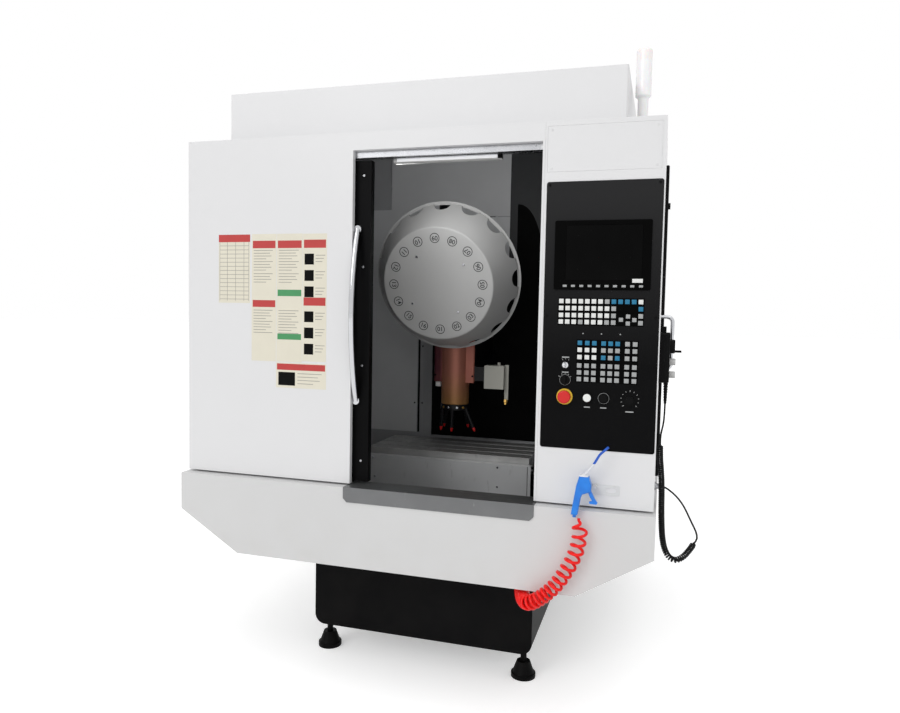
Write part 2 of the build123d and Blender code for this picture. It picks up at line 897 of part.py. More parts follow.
# Door track: a slotted channel screwed behind the header. The door's carriages run inside it.
track_y = (front_y + track_front, front_y + track_front + track_depth)
track_top = track_bottom + track_height
track_x = (-cabin_right + 8, opening_right - 1)
slot_y = (track_y[0] + track_y[1]) / 2
with BuildPart() as door_track:
    block(track_x, track_y, (track_bottom, track_top))
    block(track_x, (track_y[0], track_y[0] + track_wall), (track_top, track_flange_top))
    block(
        track_x, (track_y[0] + track_wall, track_y[1] - track_wall),
        (track_bottom + track_wall, track_top - track_wall), Mode.SUBTRACT,
    )
    block(track_x, spread(slot_y, track_slot), (track_bottom - 1, track_bottom + track_wall), Mode.SUBTRACT)
door_track.part.label = "door_track"
export_step(door_track.part, "parts/door_track.step")

# Door frame: a black steel frame with a rebate for its pane, hung from two carriages.
pane_hole = (door_width - 2 * stile, door_top - door_bottom - 2 * door_rail_height)
door_x = (door_left + door_right) / 2
door_z = (door_bottom + door_top) / 2
with BuildPart() as door_frame:
    with BuildSketch(facing(door_y)):
        with Locations((door_x, door_z)):
            Rectangle(door_width, door_top - door_bottom)
            RectangleRounded(*pane_hole, 30, mode=Mode.SUBTRACT)
    extrude(amount=-door_thickness)
    with BuildSketch(facing(door_y + door_thickness)):
        with Locations((door_x, door_z)):
            Rectangle(pane_hole[0] + 2 * pane_rebate, pane_hole[1] + 2 * pane_rebate)
    extrude(amount=pane_thickness, mode=Mode.SUBTRACT)
    for hanger_x in (door_left + 110, door_right - 110):
        block(spread(hanger_x, 30), spread(slot_y, track_slot - 4), (door_top, track_bottom + track_wall + 1))
        block(
            spread(hanger_x, carriage_length), spread(slot_y, track_depth - 2 * track_wall - 2),
            (track_bottom + track_wall + carriage_clearance, track_top - track_wall - 2),
        )
door_frame.part.label = "door_frame"
export_step(door_frame.part, "parts/door_frame.step")

# Door pane: the clear sheet in the frame's rebate.
pane_overlap = pane_rebate - pane_clearance
with BuildPart() as door_pane:
    with BuildSketch(facing(door_y + door_thickness)):
        with Locations((door_x, door_z)):
            Rectangle(pane_hole[0] + 2 * pane_overlap, pane_hole[1] + 2 * pane_overlap)
    extrude(amount=pane_thickness)
door_pane.part.label = "door_pane"
export_step(door_pane.part, "parts/door_pane.step")

# Door handle: one bent bow on two round feet, standing off the door's edge stile.
handle_x = opening_left + handle_gap + handle_d / 2
handle_mid = (handle_bottom + handle_top) / 2
with BuildPart() as door_handle:
    with BuildLine(Plane.YZ.offset(handle_x)) as bow:
        ThreePointArc(
            (door_y - handle_foot_height, handle_bottom), (door_y - handle_bow, handle_mid),
            (door_y - handle_foot_height, handle_top),
        )
    with BuildSketch(Plane(bow.line @ 0, z_dir=bow.line % 0)):
        Circle(handle_d / 2)
    sweep()
    for foot_z in (handle_bottom, handle_top):
        with BuildSketch(facing(door_y)):
            with Locations((handle_x, foot_z)):
                Circle(handle_foot_d / 2)
        extrude(amount=handle_foot_height + 3)
door_handle.part.label = "door_handle"
export_step(door_handle.part, "parts/door_handle.step")

# Guide rails: two on the bed for the saddle and two on the column for the head.
rail_y = (front_y + y_rail_setback, front_y + y_rail_setback + y_rail_length)
with BuildPart() as guide_rails:
    for side in (-1, 1):
        block(spread(side * y_rail_spacing / 2, rail_width), rail_y, (way_top, way_top + rail_height))
        block(
            spread(spindle_x + side * z_rail_spacing / 2, rail_width), (column_y - rail_height, column_y),
            (z_rail_bottom, z_rail_top),
        )
guide_rails.part.label = "guide_rails"
export_step(guide_rails.part, "parts/guide_rails.step")

# Y screw: the ball screw that drives the saddle, between its two bearing lugs.
with BuildPart() as y_screw:
    with BuildSketch(facing(y_lug_front)):
        with Locations((0, y_screw_height)):
            Circle(screw_d / 2)
    extrude(amount=-(y_lug_rear + lug_length - y_lug_front))
y_screw.part.label = "y_screw"
export_step(y_screw.part, "parts/y_screw.step")

# Saddle: the cast slide between bed and table, with four rail blocks and a nut below, its own
# pair of rails and two screw lugs on top, and the X motor at its left end.
saddle_y = spread(table_y, table_depth)
x_screw_height = saddle_top + 14
x_lug = saddle_length / 2 - 34
groove = rail_width + 2 * travel_clearance
with BuildPart() as saddle:
    block(spread(0, saddle_length), saddle_y, (saddle_bottom, saddle_top))
    block(
        spread(0, saddle_length + 2), spread(table_y, screw_trough), (saddle_top - 16, saddle_top + 1),
        Mode.SUBTRACT,
    )
    for block_x in spread(0, y_rail_spacing):
        for block_y in spread(table_y, y_block_spacing):
            block(
                spread(block_x, block_width + 20), spread(block_y, block_length),
                (way_top + 3, saddle_bottom),
            )
            block(
                spread(block_x, groove), spread(block_y, block_length + 2),
                (way_top + 2, way_top + rail_height + travel_clearance), Mode.SUBTRACT,
            )
    block(spread(0, nut_width), spread(table_y, 90), (y_screw_height - 24, saddle_bottom))
    with Locations(facing(table_y - 60).location * Location((0, y_screw_height, 0))):
        Hole(screw_d / 2 + travel_clearance, depth=120)
    for lug_x in (-x_lug, x_lug):
        block(
            spread(lug_x, lug_length), spread(table_y, screw_trough - 6),
            (saddle_top - 17, x_screw_height + 20),
        )
    with Locations(Plane.YZ.offset(saddle_length / 2 + 1).location * Location((table_y, x_screw_height, 0))):
        Hole(screw_d / 2 + running_clearance, depth=saddle_length + 1)
    for side in (-1, 1):
        block(
            spread(0, saddle_length), spread(table_y + side * x_rail_spacing / 2, rail_width),
            (saddle_top, saddle_top + rail_height),
        )
    block(
        (-saddle_length / 2 - motor_length, -saddle_length / 2), spread(table_y, motor_size),
        spread(x_screw_height, motor_size),
    )
saddle.part.label = "saddle"
export_step(saddle.part, "parts/saddle.step")

# Saddle cover: the grey plate in front of the ways, bent back at its top and bottom edge.
cover_face = front_y + saddle_cover_setback
with BuildPart() as saddle_cover:
    with BuildSketch(Plane.YZ.offset(table_x - saddle_cover_length / 2)):
        with BuildLine():
            Polyline(
                (cover_face, saddle_cover_bottom), (cover_face, saddle_cover_top),
                (saddle_y[0] - 8, saddle_cover_top), (saddle_y[0] - 8, saddle_cover_top - sheet),
                (cover_face + sheet, saddle_cover_top - sheet),
                (cover_face + sheet, saddle_cover_bottom + sheet),
                (saddle_y[0], saddle_cover_bottom + sheet), (saddle_y[0], saddle_cover_bottom),
                close=True,
            )
        make_face()
    extrude(amount=saddle_cover_length)
saddle_cover.part.label = "saddle_cover"
export_step(saddle_cover.part, "parts/saddle_cover.step")

# X screw: the ball screw under the table.
with BuildPart() as x_screw:
    with BuildSketch(Plane.YZ.offset(-saddle_length / 2 + 0.5)):
        with Locations((table_y, x_screw_height)):
            Circle(screw_d / 2)
    extrude(amount=saddle_length - 20)
x_screw.part.label = "x_screw"
export_step(x_screw.part, "parts/x_screw.step")

# Table: a cast plate with three T-slots, four rail blocks and the screw nut under it.
x_rail_top = saddle_top + rail_height
with BuildPart() as table:
    block(spread(table_x, table_length), spread(table_y, table_depth), (table_bottom, table_top))
    with BuildSketch(Plane.YZ.offset(table_x - table_length / 2)):
        for slot in (-1, 0, 1):
            with Locations((table_y + slot * slot_pitch, table_top - slot_depth / 2)):
                Rectangle(slot_width, slot_depth)
            with Locations((table_y + slot * slot_pitch, table_top - slot_depth + slot_foot_height / 2)):
                Rectangle(slot_foot_width, slot_foot_height)
    extrude(amount=table_length, mode=Mode.SUBTRACT)
    for block_x in spread(table_x, x_block_spacing):
        for block_y in spread(table_y, x_rail_spacing):
            block(
                spread(block_x, block_length), spread(block_y, block_width), (saddle_top + 3, table_bottom),
            )
            block(
                spread(block_x, block_length + 2), spread(block_y, groove),
                (saddle_top + 2, x_rail_top + travel_clearance), Mode.SUBTRACT,
            )
    block(spread(table_x, 90), spread(table_y, nut_width - 12), (x_screw_height - 22, table_bottom))
    with Locations(Plane.YZ.offset(table_x + 60).location * Location((table_y, x_screw_height, 0))):
        Hole(screw_d / 2 + travel_clearance, depth=120)
table.part.label = "table"
export_step(table.part, "parts/table.step")

# Column: a tapering casting with an arch at its foot, screw lugs on its front face and a motor
# plate on top.
z_screw_y = column_y - z_screw_offset
z_lug_bottom = z_rail_bottom - 40
z_lug_top = z_rail_top - 10
plate_front = column_y - motor_plate_reach
with BuildPart() as column:
    with BuildSketch(Plane.YZ.offset(spindle_x - column_width / 2)):
        with BuildLine():
            Polyline(
                (column_y, column_seat), (column_y, column_top), (column_y + column_head_depth, column_top),
                (column_y + column_foot_depth, column_seat + 500),
                (column_y + column_foot_depth, column_seat),
                close=True,
            )
        make_face()
    extrude(amount=column_width)
    block(
        spread(0, arch_width), (column_y - 1, column_y + column_foot_depth + 1),
        (column_seat - 1, column_seat + arch_height), Mode.SUBTRACT,
    )
    for lug_z in (z_lug_bottom, z_lug_top):
        block(spread(spindle_x, 84), (column_y - 44, column_y), (lug_z, lug_z + lug_length))
    block(
        spread(spindle_x, z_motor_size + 30), (plate_front, column_y + 120),
        (column_top, column_top + motor_plate_thickness),
    )
    with Locations((spindle_x, z_screw_y, column_top + motor_plate_thickness)):
        Hole(screw_d / 2 + running_clearance, depth=column_top - z_lug_bottom + 40)
column.part.label = "column"
export_step(column.part, "parts/column.step")

# Z screw: the ball screw that lifts the head.
with BuildPart() as z_screw:
    with Locations((spindle_x, z_screw_y, z_lug_bottom)):
        Cylinder(
            screw_d / 2, column_top + motor_plate_thickness - z_lug_bottom - 0.5,
            align=(Align.CENTER, Align.CENTER, Align.MIN),
        )
z_screw.part.label = "z_screw"
export_step(z_screw.part, "parts/z_screw.step")

# Axis motors: the Z motor on the column's plate, the Y motor in the arch behind its lug, and the
# magazine's indexing motor, upright on the gear case in front of the bracket's plate.
z_motor_bottom = column_top + motor_plate_thickness
y_motor_y = y_lug_rear + lug_length
bracket_y = front_y + bracket_plate_setback
gear_case_length = 74
gear_case_height = 97
with BuildPart() as axis_motors:
    block(
        spread(spindle_x, z_motor_size), spread(z_screw_y, z_motor_size),
        (z_motor_bottom, z_motor_bottom + z_motor_height),
    )
    chamfer(axis_motors.edges().filter_by(Axis.Z), 14)
    block(spread(0, motor_size), (y_motor_y, y_motor_y + motor_length), spread(y_screw_height, motor_size))
    block(
        spread(spindle_x, 100), (bracket_y - gear_case_length, bracket_y),
        (bracket_top - gear_case_height, bracket_top),
    )
    with Locations((spindle_x, bracket_y - gear_case_length / 2 + 3, bracket_top)):
        Cylinder(index_motor_d / 2, index_motor_height, align=(Align.CENTER, Align.CENTER, Align.MIN))
axis_motors.part.label = "axis_motors"
export_step(axis_motors.part, "parts/axis_motors.step")

# Spindle head: the casting that carries the spindle out in front of the column. Its underside
# rises towards the back, and its rear plate holds four rail blocks and the screw nut.
plate_back = column_y - rail_height - 17
plate_y = (plate_back - head_plate_thickness, plate_back)
head_face = spindle_y - head_front
with BuildPart() as spindle_head:
    with BuildSketch(Plane.YZ.offset(spindle_x - head_width / 2)):
        with BuildLine():
            Polyline(
                (head_face, head_bottom), (head_face, head_top), (plate_y[0], head_top),
                (plate_y[0], head_bottom + 120), (spindle_y + 150, head_bottom + 40),
                (spindle_y + 110, head_bottom),
                close=True,
            )
        make_face()
    extrude(amount=head_width)
    fillet(spindle_head.edges().filter_by(Axis.Z).group_by(Axis.Y)[0], 10)
    block(spread(spindle_x, head_plate_width), plate_y, (head_plate_bottom, head_plate_top))
    head_mid = (head_plate_bottom + head_plate_top) / 2
    for block_x in spread(spindle_x, z_rail_spacing):
        for block_z in spread(head_mid, z_block_spacing):
            block(
                spread(block_x, block_width), (plate_back, column_y - 3), spread(block_z, block_length),
            )
            block(
                spread(block_x, groove), (column_y - rail_height - travel_clearance, column_y - 2),
                spread(block_z, block_length + 2), Mode.SUBTRACT,
            )
    block(spread(spindle_x, nut_width), (plate_back, z_screw_y + 20), spread(head_mid, 90))
    with Locations((spindle_x, z_screw_y, head_plate_top)):
        Hole(screw_d / 2 + travel_clearance, depth=head_plate_top - head_plate_bottom)
    with Locations((spindle_x, spindle_y, head_top)):
        Hole(housing_d / 2 + running_clearance, depth=head_top - head_bottom)
spindle_head.part.label = "spindle_head"
export_step(spindle_head.part, "parts/spindle_head.step")

# Spindle housing: the turned cartridge in the head's bore, with a stepped nose and a bore of
# its own for the spindle.
nose_z = spindle_bottom - spindle_nose_height
with BuildPart() as spindle_housing:
    with BuildSketch(Plane.XZ.offset(-spindle_y)):
        with BuildLine():
            bore_r = spindle_shaft_d / 2 + running_clearance
            Polyline(
                (spindle_x + bore_r, nose_z), (spindle_x + spindle_nose_d / 2, nose_z),
                (spindle_x + spindle_nose_d / 2, spindle_bottom),
                (spindle_x + housing_d / 2 - 3, spindle_bottom),
                (spindle_x + housing_d / 2, spindle_bottom + 3), (spindle_x + housing_d / 2, head_top),
                (spindle_x + bore_r, head_top),
                close=True,
            )
        make_face()
    revolve(axis=Axis((spindle_x, spindle_y, 0), (0, 0, 1)))
spindle_housing.part.label = "spindle_housing"
export_step(spindle_housing.part, "parts/spindle_housing.step")

# Spindle: the turning shaft, with a 7 to 24 taper in its nose and two driving keys.
spindle_face = nose_z - 5
taper_small_d = taper_large_d - taper_length * taper_ratio
with BuildPart() as spindle:
    with Locations((spindle_x, spindle_y, spindle_face)):
        Cylinder(
            spindle_shaft_d / 2, head_top - 2 - spindle_face,
            align=(Align.CENTER, Align.CENTER, Align.MIN),
        )
        Cone(
            taper_large_d / 2, taper_small_d / 2, taper_length, align=(Align.CENTER, Align.CENTER, Align.MIN),
            mode=Mode.SUBTRACT,
        )
        Cylinder(6.5, 120, align=(Align.CENTER, Align.CENTER, Align.MIN), mode=Mode.SUBTRACT)
    for side in (-1, 1):
        with Locations((spindle_x + side * 24, spindle_y, spindle_face)):
            Box(15, 16, 8, align=(Align.CENTER, Align.CENTER, Align.MAX))
spindle.part.label = "spindle"
export_step(spindle.part, "parts/spindle.step")

# Spindle motor: a square-bodied motor with cut corners, a flange below and a fan cowl on top.
with BuildPart() as spindle_motor:
    block(
        spread(spindle_x, spindle_motor_size + 26), spread(spindle_y + 16, spindle_motor_size + 6),
        (head_top, head_top + 16),
    )
    with BuildSketch(Plane.XY.offset(head_top + 16)):
        with Locations((spindle_x, spindle_y + 16)):
            Rectangle(spindle_motor_size, spindle_motor_size)
    extrude(amount=spindle_motor_height - 60)
    chamfer(spindle_motor.edges().filter_by(Axis.Z).filter_by(lambda edge: edge.length > 100), 18)
    with BuildSketch(Plane.XY.offset(head_top + spindle_motor_height - 44)):
        with Locations((spindle_x, spindle_y + 16)):
            Circle(spindle_motor_size / 2 - 6)
    extrude(amount=44)
spindle_motor.part.label = "spindle_motor"
export_step(spindle_motor.part, "parts/spindle_motor.step")

# Coolant nozzles: a ring round the spindle nose, under the housing, with five jointed nozzles
# at their own angles and reach, and the air and oil unit on a strap at the head's right side.
ring_bottom = 976
ring_d = 132
nozzle_root_r = 60
nozzle_drop = 84
nozzle_links = 6
nozzle_reach = {-142: 6, -85: 12, -21: 46, 60: 24, 140: 24}
unit_x = (141, 229)
unit_setback = 706
unit_z = (1081, 1183)
with BuildPart() as coolant_nozzles:
    with BuildSketch(Plane.XY.offset(ring_bottom)):
        with Locations((spindle_x, spindle_y)):
            Circle(ring_d / 2)
            Circle(spindle_nose_d / 2 + 0.5, mode=Mode.SUBTRACT)
    extrude(amount=spindle_bottom - ring_bottom)
    for around, reach in nozzle_reach.items():
        outward = Vector(math.cos(math.radians(around)), math.sin(math.radians(around)), 0)
        root = Vector(spindle_x, spindle_y, ring_bottom + 6) + outward * nozzle_root_r
        link = (outward * reach - Vector(0, 0, nozzle_drop)) / nozzle_links
        for number in range(nozzle_links):
            with Locations(Plane(root + link * number, z_dir=link)):
                Cone(8.5, 6, link.length + 1, align=(Align.CENTER, Align.CENTER, Align.MIN))
    block(unit_x, spread(front_y + unit_setback, 60), unit_z)
    block(
        (spindle_x + head_width / 2, unit_x[0] + 10), spread(front_y + unit_setback + 11, 10),
        (head_bottom + 10, unit_z[1] - 10),
    )
    block((unit_x[1] - 1, unit_x[1] + 16), spread(front_y + unit_setback, 6), (unit_z[0] - 50, unit_z[1] + 4))
    with Locations((unit_x[0] + 60, front_y + unit_setback, unit_z[1])):
        Cylinder(7, 14, align=(Align.CENTER, Align.CENTER, Align.MIN))
coolant_nozzles.part.label = "coolant_nozzles"
export_step(coolant_nozzles.part, "parts/coolant_nozzles.step")

# Tool magazine: all of it is drawn about one tilted axis, square to this plane. The axis leans
# down towards the operator, so that the lowest pocket hangs nearest the spindle.
lean = math.radians(magazine_tilt)
magazine = Plane(
    origin=(spindle_x, front_y + magazine_setback, magazine_height), x_dir=(1, 0, 0),
    z_dir=(0, -math.cos(lean), -math.sin(lean)),
)
half_section = Plane(origin=magazine.origin, x_dir=magazine.x_dir, z_dir=-magazine.y_dir)
pocket_angles = [pocket * 360 / pocket_count for pocket in range(pocket_count)]
carrier_face = carrier_lift + carrier_thickness


def spoke(angle, radius, height):
    """A plane square to a spoke of the magazine; its X runs along the magazine's axis."""
    turn = math.radians(angle)
    outward = magazine.x_dir * math.cos(turn) + magazine.y_dir * math.sin(turn)
    return Plane(
        origin=magazine.origin + outward * radius + magazine.z_dir * height,
        x_dir=magazine.z_dir, z_dir=outward,
    )


# Magazine cover: a moulded bowl, open behind, with a flat face, a conical flank, a half-round
# window in the flank at each pocket and a thin flange round its rim.
cover_lip = 14
with BuildPart() as magazine_cover:
    with BuildSketch(half_section):
        with BuildLine():
            Polyline(
                (0, cover_depth), (cover_face_r, cover_depth), (cover_rim_r, cover_lip),
                (cover_rim_r, cover_flange), (cover_flange_r, cover_flange), (cover_flange_r, 0),
                (cover_rim_r - cover_wall, 0), (cover_rim_r - cover_wall, cover_lip - 2),
                (cover_face_r - cover_wall, cover_depth - cover_wall), (0, cover_depth - cover_wall),
                close=True,
            )
        make_face()
    revolve(axis=Axis(magazine.origin, magazine.z_dir))
    face_edges = magazine_cover.edges().filter_by(GeomType.CIRCLE)
    fillet(face_edges.sort_by(lambda edge: (edge.arc_center - magazine.origin).dot(magazine.z_dir))[-1], 8)
    for angle in pocket_angles:
        with BuildSketch(spoke(angle, cover_face_r - 11, scallop_reach - scallop_r)):
            Circle(scallop_r)
            with Locations((scallop_r - scallop_reach + cover_flange - scallop_r, 0)):
                Rectangle(2 * scallop_r, 2 * scallop_r + 1, mode=Mode.SUBTRACT)
        extrude(amount=cover_rim_r - cover_face_r + 30, mode=Mode.SUBTRACT)
magazine_cover.part.label = "magazine_cover"
export_step(magazine_cover.part, "parts/magazine_cover.step")

# Tool carrier: the disc behind the cover, its hub, four posts that hold the cover and a forked
# arm for each pocket.
hub_back = -12
post_ring_r = 118
arm_root = 150
with BuildPart() as tool_carrier:
    with BuildSketch(magazine.offset(hub_back)):
        Circle(hub_r)
    extrude(amount=carrier_face - hub_back)
    with BuildSketch(magazine.offset(carrier_lift)):
        Circle(carrier_r)
    extrude(amount=carrier_thickness)
    with BuildSketch(magazine.offset(carrier_lift - arm_thickness)):
        with PolarLocations((arm_root + arm_reach) / 2, pocket_count):
            Rectangle(arm_reach - arm_root, arm_width)
        with PolarLocations(arm_reach - 16, pocket_count):
            Rectangle(34, fork_gap, mode=Mode.SUBTRACT)
    extrude(amount=arm_thickness)
    with BuildSketch(magazine.offset(carrier_face)):
        with PolarLocations(post_ring_r, 4, start_angle=33):
            Circle(9)
    extrude(amount=cover_depth - cover_wall - carrier_face)
    with BuildSketch(magazine.offset(hub_back)):
        Circle(hub_shaft_d / 2 + running_clearance)
    extrude(amount=carrier_face - hub_back, mode=Mode.SUBTRACT)
tool_carrier.part.label = "tool_carrier"
export_step(tool_carrier.part, "parts/tool_carrier.step")

# Magazine bracket: an upright plate behind the disc, two arms back to the column on either side
# of the head, a tilted boss and the pin that the hub turns on, with its retaining washer.
bracket_half = bracket_arm_x + bracket_arm_thickness
pin_root = -62
with BuildPart() as magazine_bracket:
    with BuildSketch(facing(bracket_y)):
        with Locations((spindle_x, (bracket_bottom + bracket_top) / 2)):
            RectangleRounded(2 * bracket_half, bracket_top - bracket_bottom, 24)
    extrude(amount=-bracket_plate)
    for side in (-1, 1):
        block(
            spread(spindle_x + side * arm_middle, bracket_arm_thickness),
            (bracket_y + bracket_plate / 2, column_y), arm_slot_z,
        )
    with BuildSketch(magazine.offset(pin_root)):
        Circle(44)
    extrude(amount=hub_back - 4 - pin_root)
    with BuildSketch(magazine.offset(pin_root)):
        Circle(hub_shaft_d / 2)
    extrude(amount=carrier_face + 8 - pin_root)
    with BuildSketch(magazine.offset(carrier_face + travel_clearance)):
        Circle(34)
    extrude(amount=6)
magazine_bracket.part.label = "magazine_bracket"
export_step(magazine_bracket.part, "parts/magazine_bracket.step")

# Electrical cabinet: a sheet box on the rear of the cabin, open behind, with a mounting plate
# that carries the drives, the transformer and the terminal rail, and a hinge pin at each lug.
cabinet_x = spread(0, cabinet_width)
cabinet_top = cabinet_bottom + cabinet_height
cabinet_mouth = cabin_rear + cabinet_depth - cabinet_door_thickness
mounting_face = cabin_rear + cabinet_wall + 12
drive_pitch = 92
hinge_x = cabinet_x[0] - hinge_offset
hinge_y = cabinet_mouth + seam + cabinet_door_thickness / 2
hinge_heights = [cabinet_bottom + cabinet_height * share for share in (0.1, 0.48, 0.86)]
lug_height = 28
with BuildPart() as electrical_cabinet:
    block(cabinet_x, (cabin_rear, cabinet_mouth), (cabinet_bottom, cabinet_top))
    block(
        (cabinet_x[0] + cabinet_wall, cabinet_x[1] - cabinet_wall),
        (cabin_rear + cabinet_wall, cabinet_mouth + 1),
        (cabinet_bottom + cabinet_wall, cabinet_top - cabinet_wall), Mode.SUBTRACT,
    )
    block(
        (cabinet_x[0] + 50, cabinet_x[1] - 50), (cabin_rear + cabinet_wall, mounting_face),
        (cabinet_bottom + 60, cabinet_top - 60),
    )
    for drive in range(4):
        block(
            spread(cabinet_x[0] + 160 + drive * drive_pitch, 74), (mounting_face, mounting_face + 178),
            (cabinet_top - 460, cabinet_top - 130),
        )
    block(
        (cabinet_x[1] - 330, cabinet_x[1] - 120), (mounting_face, mounting_face + 158),
        (cabinet_bottom + 90, cabinet_bottom + 260),
    )
    block(
        (cabinet_x[0] + 110, cabinet_x[1] - 110), (mounting_face, mounting_face + 58),
        (cabinet_bottom + 500, cabinet_bottom + 580),
    )
    for hinge_z in hinge_heights:
        lug_z = (hinge_z, hinge_z + lug_height)
        block((hinge_x - 4, cabinet_x[0]), (cabinet_mouth - 30, cabinet_mouth - 2), lug_z)
        block(spread(hinge_x, 8), (cabinet_mouth - 4, hinge_y), lug_z)
        with Locations((hinge_x, hinge_y, hinge_z)):
            Cylinder(7, lug_height, align=(Align.CENTER, Align.CENTER, Align.MIN))
            Cylinder(hinge_pin_d / 2, hinge_length - 3, align=(Align.CENTER, Align.CENTER, Align.MIN))
electrical_cabinet.part.label = "electrical_cabinet"
export_step(electrical_cabinet.part, "parts/electrical_cabinet.step")

# Cabinet door: a folded tray with a knuckle on each hinge pin and two lock discs.
cabinet_door_y = (cabinet_mouth + seam, cabinet_mouth + seam + cabinet_door_thickness)
with BuildPart() as cabinet_door:
    block((cabinet_x[0] + seam, cabinet_x[1] - seam), cabinet_door_y, (cabinet_bottom, cabinet_top))
    block(
        (cabinet_x[0] + seam + cabinet_wall, cabinet_x[1] - seam - cabinet_wall),
        (cabinet_door_y[0] - 1, cabinet_door_y[1] - cabinet_wall),
        (cabinet_bottom + cabinet_wall, cabinet_top - cabinet_wall), Mode.SUBTRACT,
    )
    for hinge_z in hinge_heights:
        knuckle_z = (hinge_z + lug_height + 0.3, hinge_z + hinge_length - 3)
        block((hinge_x, cabinet_x[0] + seam + 2), spread(hinge_y, 6), knuckle_z)
        with Locations((hinge_x, hinge_y, knuckle_z[0])):
            Cylinder(7, knuckle_z[1] - knuckle_z[0], align=(Align.CENTER, Align.CENTER, Align.MIN))
            Cylinder(
                hinge_pin_d / 2 + running_clearance, knuckle_z[1] - knuckle_z[0] + 1,
                align=(Align.CENTER, Align.CENTER, Align.MIN), mode=Mode.SUBTRACT,
            )
    with BuildSketch(facing(cabinet_door_y[1])):
        for share in (0.25, 0.75):
            with Locations((cabinet_x[1] - 50, cabinet_bottom + cabinet_height * share)):
                Circle(15)
    extrude(amount=-5)
cabinet_door.part.label = "cabinet_door"
export_step(cabinet_door.part, "parts/cabinet_door.step")

# Stack light: a base and a slim neck under a taller round body with a rounded top.
light_y = front_y + light_setback
light_body_x = light_x + light_body_d / 2
light_neck_x = light_x + light_neck_d / 2
with BuildPart() as stack_light:
    with BuildSketch(facing(light_y)):
        with BuildLine():
            Polyline(
                (light_x, light_top), (light_x, front_top), (light_x + light_base_d / 2, front_top),
                (light_x + light_base_d / 2, front_top + light_base_height - 4),
                (light_neck_x, front_top + light_base_height), (light_neck_x, light_neck_top - 8),
                (light_body_x, light_neck_top), (light_body_x, light_top),
                close=True,
            )
        make_face()
    revolve(axis=Axis((light_x, light_y, 0), (0, 0, 1)))
    fillet(stack_light.faces().sort_by(Axis.Z)[-1].edges(), 11)
stack_light.part.label = "stack_light"
export_step(stack_light.part, "parts/stack_light.step")

# Pendant hanger: a bent round bar on the console's right side, beside the pendant.
hanger_y = front_y + hanger_setback
hanger_x = cabin_right + hanger_reach
with BuildPart() as pendant_hanger:
    with BuildLine(facing(hanger_y)) as bar:
        FilletPolyline(
            (cabin_right, hanger_top), (hanger_x, hanger_top), (hanger_x, hanger_top - hanger_length),
            (cabin_right, hanger_top - hanger_length), radius=hanger_bend,
        )
    with BuildSketch(Plane(bar.line @ 0, z_dir=bar.line % 0)):
        Circle(hanger_d / 2)
    sweep()
pendant_hanger.part.label = "pendant_hanger"
export_step(pendant_hanger.part, "parts/pendant_hanger.step")

# Pendant body: the hand unit that magnets hold on the console's side, with a bore for each
# control and a ribbed strain relief below for its cable.
pendant_face = cabin_right + pendant_thickness
pendant_top = pendant_bottom + pendant_height
relief_x = cabin_right + 23.6
bore_depth = 22
controls = {"wheel": wheel_height, "axis": axis_knob_height, "step": step_knob_height}
with BuildPart() as pendant_body:
    block((cabin_right, pendant_face), spread(pendant_y, pendant_width), (pendant_bottom, pendant_top))
    fillet(pendant_body.edges().filter_by(Axis.X), 10)
    fillet(pendant_body.faces().sort_by(Axis.X)[-1].edges(), 4)
    block((cabin_right + 6, cabin_right + 20), spread(pendant_y, 30), (pendant_top - 2, pendant_top + 20))
    with Locations((relief_x, pendant_y, pendant_bottom + 1)):
        Cone(4.5, 6.5, relief_length + 1, align=(Align.CENTER, Align.CENTER, Align.MAX))
    for rib in range(relief_ribs):
        with Locations((relief_x, pendant_y, pendant_bottom - 3 - rib * 9)):
            Cylinder(8 - rib * 0.4, 5, align=(Align.CENTER, Align.CENTER, Align.MAX))
    with BuildSketch(Plane.YZ.offset(pendant_face)):
        with Locations(*[(pendant_y, height) for height in controls.values()]):
            Circle(control_shaft_d / 2 + running_clearance)
    extrude(amount=-bore_depth, mode=Mode.SUBTRACT)
pendant_body.part.label = "pendant_body"
export_step(pendant_body.part, "parts/pendant_body.step")


def control(piece, name, diameter, thickness):
    """A round control just off the pendant's face, with its shaft in the body."""
    with BuildSketch(Plane.YZ.offset(pendant_face + travel_clearance)) as top:
        with Locations((pendant_y, controls[name])):
            Circle(diameter / 2)
    extrude(top.sketch, amount=thickness)
    fillet(piece.faces().sort_by(Axis.X)[-1].edges(), 2)
    with BuildSketch(Plane.YZ.offset(pendant_face + travel_clearance)) as shaft:
        with Locations((pendant_y, controls[name])):
            Circle(control_shaft_d / 2)
    extrude(shaft.sketch, amount=-bore_depth + 2)


# Pendant wheel: the hand wheel with its small crank knob.
with BuildPart() as pendant_wheel:
    control(pendant_wheel, "wheel", wheel_d, wheel_thickness)
    with BuildSketch(Plane.YZ.offset(pendant_face + wheel_thickness - 1)):
        with Locations((pendant_y, wheel_height - crank_r)):
            Circle(4)
    extrude(amount=22)
pendant_wheel.part.label = "pendant_wheel"
export_step(pendant_wheel.part, "parts/pendant_wheel.step")

# Axis knob and step knob: two like knobs below the wheel.
with BuildPart() as pendant_axis_knob:
    control(pendant_axis_knob, "axis", pendant_knob_d, pendant_knob_length)
pendant_axis_knob.part.label = "pendant_axis_knob"
export_step(pendant_axis_knob.part, "parts/pendant_axis_knob.step")

with BuildPart() as pendant_step_knob:
    control(pendant_step_knob, "step", pendant_knob_d, pendant_knob_length)
pendant_step_knob.part.label = "pendant_step_knob"
export_step(pendant_step_knob.part, "parts/pendant_step_knob.step")


